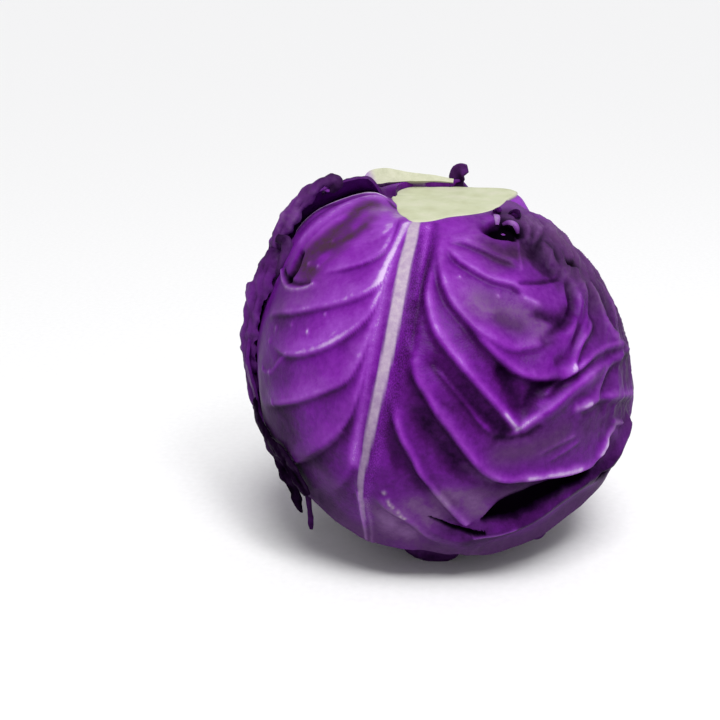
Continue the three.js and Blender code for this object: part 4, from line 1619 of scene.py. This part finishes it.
# painted highlights on pale edges, crests, a blister and the lip, painted shade in darker patches, bruises,
# bloom, specks with painted glints and other marks that hardly stand out
PAINTED_LIGHT_AND_MARKS = (
    # painted highlight over the left shoulder and a painted rim highlight along its edge, with painted shade
    # between
    Stroke(route((-75, 43), (-74, 35), (-79, 28.5), (-90, 23), (-84, 18)), 3.6, 0.3, tone=0.22),
    Stroke(route((-86, 43), (-86, 34), (-93, 28), (-100, 22)), 2.0, -0.3, tone=-0.1),
    Stroke(route((-94, 45), (-97, 39), (-100, 34.5), (-107, 30), (-110, 25), (-97, 17)), 0.9, 0.5,
           tone=0.46, ragged=0.0),
    Stroke(route((-67, 44), (-66.5, 40), (-67.5, 34), (-68, 29)), 1.6, 0.3, tone=0.14),
    Stroke(route((-56, 50), (-61, 49), (-64, 46), (-63, 43), (-61, 37.5), (-62.5, 31), (-68, 25.5),
                 (-71, 21.5)), 3.2, -0.2, tone=-0.1, scuff=1.0, bloom=0.1, ragged=0.7),
    Stroke(route((-59, 45.5), (-57, 42.5), (-51.5, 34.5), (-53, 26)), 2.0, tone=-0.05, scuff=0.6, ragged=0.9),
    Stroke(route((-54, 48), (-51, 43), (-48, 38)), 1.8, scuff=0.4, ragged=0.9),
    Stroke(route((-62, 22), (-60, 18), (-52, 17), (-42, 19)), 3.2, tone=0.16, bloom=0.8),
    Stroke(route((-45, 34), (-44, 27.5), (-43.5, 22)), 6.5, tone=0.12),
    Stroke(route((-38, 60), (-44, 76), (-38, 90)), 10, tone=0.1),
    Stroke(route((-40, 48), (-52, 52), (-60, 58)), 6, tone=0.06),
    Stroke(route((-26, 24), (-24.5, 32), (-22, 41), (-21, 49), (-21, 66), (-21.5, 76), (-23, 89),
                 (-24.5, 99)), 2.2, tone=0.38),
    Stroke(route((-52, 56), (-62, 60), (-68, 66), (-72, 76)), 6.5, tone=-0.04, bloom=0.25),
    Stroke(route((-52, 79), (-64, 84), (-70, 92)), 6.5, tone=-0.06, bloom=0.2),
    Stroke(route((-66, 98), (-54, 98), (-50, 112), (-42, 116)), 9, tone=-0.16, bloom=0.3),
    Stroke(route((-42, 102), (-35.5, 105.5), (-32, 112)), 4.5, tone=-0.06, bloom=0.3),
    Stroke(route((-51, 106.5), (-41.5, 101.8), (-36.5, 98.3), (-31, 93.5), (-28, 90)), 0.6, 0.3, tone=0.2,
           bloom=0.3),
    Stroke(route((-25, 109), (-25.5, 114), (-26.5, 120), (-28, 129)), 0.8, 0.6, tone=0.26, bloom=0.3),
    Stroke(route((-23, 111), (-23.6, 119), (-25.5, 129.5)), 0.7, 0.4, tone=0.14, bloom=0.3),
    Stroke(route((-20, 114), (-17, 119), (-20, 124.5), (-12, 125)), 5.0, tone=0.1, bloom=0.9),
    Stroke(route((-8, 113), (-2, 117), (0, 110), (8, 111), (12, 116)), 5.5, tone=0.2, bloom=1.1),
    Stroke(route((-40, 120), (-33, 125), (-26, 131)), 4.5, tone=0.02, bloom=0.6),
    Stroke(route((14, 51), (20, 54), (29, 57), (33, 61)), 6.5, -1.0, tone=0.02, bloom=0.85),
    Stroke(route((20, 57), (26, 60)), 3.0, tone=-0.14, bloom=0.3),
    Stroke(route((17, 96), (25, 95.5), (36, 92)), 5.0, tone=-0.02, bloom=0.85),
    Stroke(route((12, 108.5), (18, 109.5), (24, 107.5)), 3.6, tone=0.04, bloom=1.0),
    Stroke(route((62, 24), (64, 34), (60, 46), (66, 58)), 9, tone=-0.03, bloom=0.6),
    Stroke(route((58, 30), (64, 42), (70, 56), (74, 72)), 16, tone=-0.09, bloom=0.6, ragged=0.5),
    Stroke(route((76, 40), (84, 55), (84, 70)), 9, tone=-0.02, bloom=0.6),
    Stroke(route((74, 38), (72, 44)), 4, scuff=0.35, ragged=0.9),
    Stroke(route((50, 80), (60, 84), (70, 84)), 6, tone=0.0, bloom=0.3),
    Stroke(route((22, 96), (34, 96), (48, 92)), 6, tone=0.03, bloom=0.2),
    Stroke(route((7, 99.5), (11, 102.5), (15, 104.5)), 2.2, tone=0.12, bloom=0.6),
    Stroke(route((-18, 118), (-14, 122), (-10, 126)), 5.0, tone=0.14, bloom=0.5),
    Stroke(route((-3, 103), (0, 107), (4, 112)), 1.6, tone=-0.1),
    Stroke(route((70, 30), (73, 40), (76, 48)), 6.0, tone=0.08, bloom=0.5),
    Stroke(route((14, 40.5), (21, 44.3), (27, 47)), 1.4, tone=0.1),
    Stroke(route((-72, 54), (-63, 60), (-60, 66)), 5.0, tone=-0.07, bloom=0.2),
    Stroke(route((-50, 92), (-44.5, 97), (-38, 100)), 5.0, tone=-0.08),
    Stroke(route((-32, 54), (-36, 62), (-34, 72)), 5.0, tone=0.06),
    Stroke(route((-44, 103), (-38, 105.5), (-33, 108)), 4.0, tone=0.08, bloom=0.3),
    Stroke(route((-58, 42), (-52, 36.5), (-49, 30)), 2.4, tone=-0.12, scuff=0.5, ragged=0.8),
    Stroke(route((46, 94), (56, 93), (66, 96)), 7, tone=-0.04, bloom=0.35),
    Stroke(route((-5, 134), (5, 135), (20, 136), (36, 134), (50, 124), (62, 117)), 4, tone=0.0, bloom=0.9),
    # painted shade along the top of the lip and a painted highlight on its rim
    Stroke(route((10, 129), (20, 127), (30, 122.5), (40, 116.5), (52, 112.5), (62, 109)), 4.2, tone=-0.16,
           ragged=0.5),
    Stroke(route((12, 127), (19, 125.2), (25, 122.6)), 0.5, 0.3, tone=0.4, bloom=0.4, ragged=1.5),
    Stroke(route((29, 82.5), (38, 80), (48, 78.5)), 1.8, tone=0.14),
    Stroke(route((8, 24), (16, 26), (26, 31)), 5, tone=0.1),
    Stroke(route((8, 33), (16, 36), (24, 40)), 4, tone=0.1),
    Stroke(route((6, 44), (11, 50), (17, 54)), 3.4, tone=0.08),
    Stroke(route((-1, 64), (5, 73), (12, 84), (18, 92)), 3.0, tone=-0.04),
    Stroke(route((-9, 72), (-5, 83), (1, 93), (8, 103)), 3.2, tone=-0.03),
    Stroke(route((-15, 70), (-16.5, 84), (-17, 96)), 3.0, tone=0.04),
    Stroke(route((-4.5, 50), (-2, 57), (2, 63), (6.5, 68.5)), 2.2, tone=0.1),
    # painted highlights on a blister, on the V where folds meet and along the lip
    Stroke(route((31.5, 52.5), (35, 55)), 1.5, 1.2, tone=0.24),
    Stroke(route((18, 84), (20, 87), (21.8, 89.3)), 1.2, tone=0.3, bloom=0.3),
    Stroke(route((22.2, 88.8), (24.5, 87), (28, 85.5)), 1.1, tone=0.24, bloom=0.2),
    Stroke(route((41.5, 86.3), (46, 86)), 1.5, 1.0, tone=0.34, bloom=0.4),
    Stroke(route((26, 104), (34, 104.3), (44, 105.4)), 1.7, 0.2, tone=0.3, bloom=0.3, ragged=0.5),
    Stroke(route((53.5, 103.3), (56, 100), (59.3, 96.6)), 1.2, 0.8, tone=0.34, bloom=0.4, ragged=0.5),
    Stroke(route((59, 95), (64, 97)), 0.9, 1.4, tone=0.3, bloom=0.4),
    # painted highlights along thin edges and a crest line
    Stroke(route((51.5, 30), (46, 33.5), (40, 38), (35.5, 43.5)), 0.5, 0.4, tone=0.14, ragged=0.0),
    Stroke(route((-79.5, 54), (-70, 55.4), (-64, 56.2), (-59, 55.3), (-54, 53.5), (-52, 52)), 0.7, 0.6,
           tone=0.3, bloom=0.3),
    Stroke(route((-64, 81.5), (-59, 80), (-55, 75.5), (-52, 73)), 0.6, 0.4, tone=0.2),
    # painted glints of light on small bumps
    Specks(((-62, 68), (-45.5, 65), (-41, 59), (-54, 65), (-64, 72.5), (-60, 47.5), (-54.5, 47),
            (-57.5, 39), (-65.5, 81), (-60, 80.5), (-57.5, 89), (22, 50), (8, 43)), 0.7),
    Specks(((-16, 111), (-15, 113), (-13.5, 115), (-13, 116.5), (-17, 108), (-15.7, 112), (-12, 117.5)),
           0.55, tone=0.16, flesh=0.35),
)


BACK_STRIPS = (
    # the cut petiole behind the stalk, and the thin edge that runs left from it
    Ribbon(
        ((-124.5, 28.8, 4.6), (-128.9, 26.6, 7.4), (-135.0, 24.7, 8.6), (-143.7, 22.5, 8.5),
         (-158.2, 20.3, 7.8), (-175.4, 19.2, 7.2), (168.7, 19.5, 6.4)),
        ((0.0, -0.8, 0.6),),
        Curve(((0, 1.0), (0.06, 2.6), (0.15, 6.4), (0.3, 6.4), (0.5, 4.2), (0.75, 2.8), (1, 1.6))),
        thickness=3.6, crumple=0.12, fray=0.04, tone=Curve(((0.0, 0.85),)), inner_tone=0.5, bloom=0.6,
        flesh=Curve(((0, 0), (0.12, 0.05), (0.19, 1), (1, 1))), seed=52,
    ),
    Ribbon(
        ((-122, 28.0, 4.9), (-116.6, 30.1, 3.6), (-104.7, 31.6, 3.6), (-97.0, 32.4, 3.8), (-92.5, 32.4, 3.6)),
        ((0.0, -0.9, 0.4),), Curve(((0, 2.6), (0.5, 1.7), (1, 1.2))),
        thickness=1.0, crumple=0.3, tone=Curve(((0, 0.85), (0.75, 0.7), (0.9, 0.2))), inner_tone=0.2,
        bloom=0.3, seed=53,
    ),
    # the torn flap at the petiole's right end
    Ribbon(
        ((165.4, 20.7, 2.6), (166.5, 19.5, 7.4), (163.6, 18.5, 10.6), (155.4, 18.3, 12.1)),
        ((0.0, -1.0, 0.2), (0.2, -1.0, 0.5)), Curve(((0, 7.5), (0.45, 5.6), (0.8, 5.4), (1, 2.6))),
        roll=50, crumple=0.6, tone=Curve(((0, 0.24), (1, 0.46))), inner_tone=0.36, bloom=0.6, seed=54,
    ),
    # the margin's roll from its folded tip to the knot
    Ribbon(
        ((-83.4, 29.4, 4.6), (-84.0, 27.6, 8.0), (-86.2, 30.3, 9.6), (-87.7, 33.8, 8.1), (-87.9, 38.6, 6.2),
         (-88.1, 43.6, 5.2), (-87.2, 47.8, 4.6), (-85.4, 51.2, 1.6)),
        ((0.1, -1.0, 0.1), (-0.3, -0.9, 0.3), (-0.35, -0.9, 0.15), (-0.3, -0.9, 0.1), (0.2, -1, 0.1)),
        Curve(((0, 3.0), (0.12, 5.5), (0.3, 7.0), (0.5, 7.6), (0.75, 8.4), (0.92, 7.5), (1, 3))),
        roll=-150, crumple=1.8, fray=0.55,
        tone=Curve(((0, 0.2), (0.12, 0.28), (0.35, 0.5), (0.8, 0.5), (1, 0.3))),
        inner_tone=0.15, bloom=0.75, seed=55, rows=91, columns=25,
    ),
    Ribbon(
        ((-84.5, 48.3, 4.9), (-81.3, 47.4, 2.2), (-79.8, 48.9, 0.4), (-79.5, 52.4, -0.6),
         (-80.5, 57.4, -1.8)),
        ((-0.2, -1.0, 0.4), (0.3, -1.0, 0.2)), Curve(((0, 3), (0.3, 5.5), (0.6, 5), (1, 1.2))),
        roll=-90, crumple=1.0, tone=Curve(((0, 0.24), (0.5, 0.4), (1, 0.2))), bloom=0.7, seed=56,
    ),
    # the margin's narrow band down the left, darkening to its ragged tip, and the strand; the tip's
    # near-black is painted shade
    Ribbon(
        ((-84.0, 50.9, 3.4), (-82.4, 55.6, 3.8), (-82.2, 61.6, 3.8), (-82.6, 68.9, 3.4), (-83.5, 76.8, 2.6),
         (-84.8, 85.5, 2.1), (-84.7, 93.0, 1.6), (-83.7, 101.7, 0.9), (-83.4, 109.8, 1.2),
         (-83.1, 117.8, 2.2), (-82.7, 124.9, 4.0), (-82.4, 130.8, 6.9), (-82.0, 135.4, 9.8)),
        ((-0.6, -0.8, 0.2), (-0.6, -0.8, 0.1), (-0.6, -0.8, -0.1), (-0.5, -0.8, -0.2)),
        Curve(((0, 6), (0.08, 10), (0.2, 11), (0.35, 9.5), (0.55, 7), (0.72, 6), (0.82, 7), (0.9, 7.5),
               (1, 1))),
        roll=-80, crumple=2.0, fray=0.5,
        tone=Curve(((0, 0.34), (0.2, 0.48), (0.4, 0.44), (0.62, 0.36), (0.74, 0.18), (0.82, 0.08),
                    (1, 0.05))),
        inner_tone=0.1, bloom=0.45, seed=57, rows=133, columns=19,
    ),
    Ribbon(
        ((-81.0, 97.0, 1.4), (-70.0, 99.5, 2.4), (-60.0, 102.5, 2.8), (-52.5, 105.5, 3.2),
         (-47.5, 110.0, 3.7), (-45.5, 114.6, 3.9)),
        ((-0.95, -0.3, -0.1), (-0.8, -0.6, -0.2), (-0.6, -0.8, -0.25)),
        Curve(((0, 6), (0.4, 5), (0.78, 8.5), (1, 3))),
        roll=-50, crumple=1.2, tone=Curve(((0, 0.12), (1, 0.08))), inner_tone=0.1, bloom=0.5, seed=58,
    ),
    Ribbon(
        ((-79.6, 130.7, 0.1), (-78.4, 134.0, 3.8), (-77.3, 137.0, 7.7), (-77.2, 139.8, 12.2)),
        ((-0.2, -1.0, 0.0),), Curve(((0, 3.0), (0.4, 1.8), (0.85, 2.4), (1, 1.2))),
        roll=-60, crumple=0.2, tone=Curve(((0, 0.1), (0.4, 0.3), (1, 0.3))), bloom=0.3, seed=59, columns=13,
    ),
)
FRONT_STRIPS = (
    # torn curls round the bud hole
    Ribbon(
        ((49.5, 25.0, 0.6), (52.5, 26.0, 2.2), (53.5, 28.0, 2.4), (52.0, 30.5, 0.6)),
        ((0.2, -0.6, 0.8), (-0.3, -0.7, 0.7)), Curve(((0, 0.8), (0.3, 1.8), (0.7, 1.6), (1, 0.5))),
        roll=-120, crumple=0.5, tone=Curve(((0, 0.4), (0.5, 0.8), (1, 0.4))), inner_tone=0.1, bloom=0.6,
        seed=61,
    ),
    Ribbon(
        ((45.0, 24.5, 0.4), (48.0, 22.8, 2.4), (50.5, 21.0, 1.6)),
        ((0.1, -0.8, 0.6),), Curve(((0, 0.6), (0.5, 1.6), (1, 0.5))),
        roll=-80, crumple=0.4, tone=Curve(((0, 0.7), (1, 0.85))), inner_tone=0.1, bloom=0.7, seed=62,
    ),
    Ribbon(
        ((57.0, 20.0, 0.4), (55.5, 20.8, 3.2), (53.5, 21.8, 4.0)),
        ((0.3, -0.9, 0.3),), Curve(((0, 2), (0.5, 2.8), (1, 1))),
        roll=60, crumple=0.4, tone=Curve(((0, 0.3), (1, 0.4))), inner_tone=0.3, bloom=0.1, seed=63,
    ),
    Ribbon(
        ((66.0, 24.0, 0.4), (64.5, 25.0, 3.4), (61.5, 26.4, 3.4)),
        ((0.3, -0.9, 0.4),), Curve(((0, 3), (0.5, 4.4), (1, 1.2))),
        roll=70, crumple=0.5, tone=Curve(((0, 0.16), (1, 0.24))), inner_tone=0.2, bloom=0.1, seed=64,
    ),
    # a small flap of the bottom margin
    Ribbon(
        ((47.0, 138.0, 0.4), (51.1, 139.8, 2.4), (54.5, 136.0, 1.4)),
        ((0.2, -1.0, -0.1),), Curve(((0, 2), (0.5, 4), (1, 1.5))),
        roll=-40, crumple=0.4, tone=Curve(((0, 0.3), (1, 0.4))), inner_tone=0.2, bloom=0.5, seed=66,
    ),
)
INNER_STRIPS = (
    # the crumpled lobe that hangs out at the bottom
    Ribbon(
        ((-23.5, 147.5, -2.5), (-17.0, 150.0, 0.6), (-5.5, 151.0, 1.8), (5.5, 150.6, 1.0),
         (12.5, 148.5, -2.0)),
        ((0.0, -1.0, -0.1),), Curve(((0, 3), (0.3, 6.5), (0.7, 6.5), (1, 2.5))),
        roll=-60, crumple=0.7, tone=Curve(((0.0, 0.28),)), inner_tone=0.1, bloom=0.5, seed=65,
    ),
)


def vein_set(
    rib: Curve, starts: tuple[float, ...], reach: float, sign: float, sweep: float
) -> tuple[Fold, ...]:
    """Side veins that leave a midrib, bend towards the margin and fork, no two alike.

    Args:
        rib: the rib's azimuth by polar angle.
        starts: the polar angles that they leave at.
        reach: how far they go, degrees of azimuth.
        sign: 1 to the right, -1 to the left.
        sweep: how far down the head they run, degrees.

    Returns:
        Two ridges for each. The vein is azimuth = rib + sign x reach x share, polar = start + sweep x
        share^0.8 + a slow wave, and its branch leaves at a third of the way and falls faster.
    """
    share = np.array([0.02, 0.08, 0.2, 0.35, 0.5, 0.65, 0.8, 1.0])
    chance = np.random.default_rng(int(10 * starts[0] + reach + sign))
    folds = []
    for start in starts:
        far, steep, tall, shift, phase = chance.uniform(-1.0, 1.0, 5)
        wave = 1.8 * np.sin(5.0 * share + 3.0 * phase) * share
        polar = start + 2.5 * shift + sweep * (1.0 + 0.3 * steep) * share**0.8 + wave
        wide = sign * reach * (1.0 + 0.18 * far) / max(math.sin(start * RAD), 0.5)
        azimuth = float(rib(np.float64(start))) + wide * share
        height = 0.95 + 0.35 * tall
        folds.append(Fold(Route(tuple(zip(azimuth, polar))), height, 5.0 + 1.5 * far, 1.4, 0.14, 0.2,
                          end=24.0))
        branch = share[3:]
        fall = polar[3:] + 11.0 * (branch - branch[0]) * (1.2 + 0.5 * phase)
        folds.append(
            Fold(Route(tuple(zip(azimuth[3:], fall))), 0.5 * height, 3.5, 1.1, 0.08, 0.12, start=7.0,
                 end=14.0)
        )
    return tuple(folds)


def plain_rib(rib: Curve, end: float, top: float = 0.9) -> Midrib:
    """A midrib that follows a plan's own rib curve down to a polar angle, as pale as top near the stalk."""
    polar = np.linspace(16.0, end, 8)
    return Midrib(Route(tuple(zip(rib(polar), polar))), Curve(((0, 5.0), (60, 3.4), (130, 1.6))), 1.0,
                  Curve(((0, top), (22, top), (34, 0.85), (60, 0.7), (130, 0.2))), 0.8)


CRUMPLED = (
    Crumple(14, 5.0, 7.0, 0.6, (42, 112, 12), (20, 66, 12), creased=True, tone=0.07),
    Crumple(11, 9.0, 15.0, 1.3, (46, 118, 22), (22, 112, 14), tone=0.06),
    Crumple(12, 6.0, 12.0, 0.6, (42, 118, 18), (30, 112, 14), creased=True, tone=0.04),
    Crumple(13, 12.0, 7.0, 0.35, (-125, 118, 20), (14, 140, 10)),
)


def inner_leaf(
    side: str, plan: LeafPlan, tone: float, seed: int, strips: tuple[Ribbon, ...] = ()
) -> WrapperLeaf:
    """A leaf of the layer underneath.

    Args:
        side: where it lies, as in its names.
        plan: its outline and lie.
        tone: its even tone.
        seed: for its crumples.
        strips: what stands free of it.

    Returns:
        The leaf, on a coarse grid.
    """
    return WrapperLeaf(
        f"inner_{side}_leaf", f"inner_leaf_{side}", "inner_leaf", plan, 97, 109, 0.5,
        tone=Curve(((0, tone),)), margin_bloom=0.4, crumples=(Crumple(seed, 9, 6, 0.5),), strips=strips,
    )


LEAVES = (
    inner_leaf("back", INNER_BACK, 0.34, 21),
    inner_leaf("front", INNER_FRONT, 0.3, 22, INNER_STRIPS),
    inner_leaf("left", INNER_LEFT, 0.3, 23),
    WrapperLeaf(
        "right_leaf", "leaf_right", "wrapper_leaf", RIGHT, 202, 220, 0.5,
        midrib=plain_rib(RIGHT.rib, 130, 0.05),
        features=(Stroke(route((102, 24), (108, 29), (112, 36)), 8, tone=0.14, bloom=-0.5),)
        + vein_set(RIGHT.rib, (30, 42, 55, 68, 82, 96, 110), 46, 1, 24)
        + vein_set(RIGHT.rib, (36, 48, 61, 75, 89, 103), 46, -1, 22),
        crumples=(Crumple(31, 11, 15, 1.3, tone=0.05), Crumple(32, 7, 10, 0.5, creased=True, tone=0.03)),
    ),
    WrapperLeaf(
        "front_leaf", "leaf_front", "wrapper_leaf", FRONT, 280, 298, 0.42,
        midrib=FRONT_RIB, features=LEFT_VEINS + RIGHT_VEINS + HOLLOWS + LIP + PAINTED_LIGHT_AND_MARKS, crumples=CRUMPLED,
        strips=FRONT_STRIPS,
    ),
    WrapperLeaf(
        "back_leaf", "leaf_back", "wrapper_leaf", BACK, 238, 268, 0.47,
        midrib=plain_rib(BACK.rib, 132),
        features=(Stroke(route((-126, 14), (-116, 19), (-108, 26)), 9, tone=-0.26),)
        + vein_set(BACK.rib, (32, 44, 57, 70, 84, 98, 112), 50, 1, 22)
        + vein_set(BACK.rib, (27, 38, 50, 63, 77, 91, 105), 46, -1, 24),
        crumples=(Crumple(41, 12, 16, 1.4, tone=0.05), Crumple(42, 7, 10, 0.5, creased=True, tone=0.03)),
        edge_thickness=1.0, strips=BACK_STRIPS, inner_tone=0.4,
    ),
)


# ---------------------------------------------------------------- studio


@dataclass(frozen=True)
class Studio:
    """A pale paper ground, soft light from above and in front, and the camera."""

    distance: float = 0.480  # camera to the head's centre, metres
    elevation: float = 19.0  # degrees
    lens: float = 59.9  # mm
    target: tuple[float, float] = (441.0, 371.0)  # the head's centre in the frame, right and down
    frame_size: float = 720.0
    sensor: float = 36.0  # mm
    ground_rings: tuple[float, ...] = (0.4, 3.0, 45.0)  # radii, metres
    ground_spokes: int = 64

    def set_camera(self) -> None:
        """Stands the camera in front of the head, looking a little down and to the head's left.

        It is turned so that the head's centre falls on the target place in the frame.
        """
        data = bpy.data.cameras.new("camera")
        data.lens = self.lens
        data.sensor_width = self.sensor
        data.clip_start = 0.02
        data.clip_end = 200.0
        camera = bpy.data.objects.new("camera", data)
        bpy.context.scene.collection.objects.link(camera)
        e = self.elevation * RAD
        back = Vector((0.0, -math.cos(e), math.sin(e)))
        ahead = -back
        right = Vector((1.0, 0.0, 0.0))
        up = right.cross(ahead)
        focal = self.lens / self.sensor * self.frame_size
        yaw = math.atan((self.target[0] - self.frame_size / 2) / focal)
        dy = (self.frame_size / 2 - self.target[1]) / focal
        ahead, right = (
            ahead * math.cos(yaw) - right * math.sin(yaw),
            right * math.cos(yaw) + ahead * math.sin(yaw),
        )
        pitch = math.atan(dy * math.cos(yaw))
        ahead, up = (
            ahead * math.cos(pitch) - up * math.sin(pitch),
            up * math.cos(pitch) + ahead * math.sin(pitch),
        )
        turn = Matrix((right, up, -ahead)).transposed().to_4x4()
        centre = Vector(HEAD_CENTRE * MM)
        camera.matrix_world = Matrix.Translation(centre + back * self.distance) @ turn
        bpy.context.scene.camera = camera

    def add_light(self, name: str, kind: str, energy: float, towards: Vector, **settings: float) -> None:
        """Adds a lamp.

        Args:
            name: its name.
            kind: its Blender type.
            energy: its strength.
            towards: from the head's centre to the lamp, metres.
            settings: further properties of the lamp.
        """
        data = bpy.data.lights.new(name, kind)
        data.energy = energy
        for key, value in settings.items():
            setattr(data, key, value)
        lamp = bpy.data.objects.new(name, data)
        bpy.context.scene.collection.objects.link(lamp)
        centre = Vector(HEAD_CENTRE * MM)
        lamp.location = centre + towards
        lamp.rotation_mode = "QUATERNION"
        lamp.rotation_quaternion = (-towards).to_track_quat("-Z", "Y")

    def set_light(self) -> None:
        """Lights the head: a broad sun from above and in front, a smaller soft box, and a pale sky."""
        self.add_light("key", "SUN", 1.95, Vector((0.12, -0.42, 0.95)), angle=28 * RAD)
        self.add_light("box", "AREA", 1.6, Vector((0.2, -0.4, 0.55)), size=0.16)
        world = bpy.data.worlds.new("pale_sky")
        world.use_nodes = True
        tree = world.node_tree
        tree.nodes.clear()
        seen = add_node(tree, "ShaderNodeLightPath").outputs["Is Camera Ray"]
        strength = add_node(tree, "ShaderNodeMapRange",
                            {"Value": seen, "To Min": 0.5, "To Max": 1.05}).outputs["Result"]
        sky = add_node(tree, "ShaderNodeBackground", {"Color": colour("#f4f4f6"), "Strength": strength})
        add_node(tree, "ShaderNodeOutputWorld", {"Surface": sky.outputs["Background"]})
        bpy.context.scene.world = world
        bpy.context.scene.view_settings.view_transform = "Standard"

    def set_ground(self) -> None:
        """Lays a disc of paper, 90 m across, under the head."""
        angle = np.linspace(0, 2 * np.pi, self.ground_spokes + 1)[:-1]
        radii = np.array(self.ground_rings)
        x = radii[:, None] * np.cos(angle)
        y = radii[:, None] * np.sin(angle)
        places = np.concatenate([[[0.0, 0.0, 0.0]], np.stack([x, y, 0 * x], axis=-1).reshape(-1, 3)])
        index = 1 + np.arange(x.size).reshape(x.shape)
        ring = np.concatenate([index, index[:, :1]], axis=1)
        middle = np.stack([np.zeros(self.ground_spokes, int), ring[0, :-1], ring[0, 1:]], axis=1)
        mesh = bpy.data.meshes.new("ground")
        mesh.from_pydata(places.tolist(), [], middle.tolist() + quads_of(ring).tolist())
        mesh.materials.append(MattePaper("white_matte_paper").make())
        ground = bpy.data.objects.new("ground", mesh)
        bpy.context.scene.collection.objects.link(ground)


def main() -> None:
    """Builds the studio and the head, piece by piece, from the inside out."""
    logging.basicConfig(level=logging.INFO, format="%(message)s")
    studio = Studio()
    studio.set_camera()
    studio.set_light()
    studio.set_ground()
    outer_skin = LeafSkin("red_cabbage_leaf_waxy_outer").make()
    inner_skin = LeafSkin("red_cabbage_leaf_waxy_inner").make()
    flesh = CutFlesh("cabbage_stalk_knife_cut").make()
    settle_piece(Heart().build(), "tight_heart", "heart", inner_skin)
    settle_piece(Stalk().build(), "cut_stalk", "stalk", flesh)
    for index, leaf in enumerate(LEAVES):
        leaf.make(STACK[:index], STACK[index + 1 :], inner_skin if leaf.slot == "inner_leaf" else outer_skin)


if __name__ == "__main__":
    main()
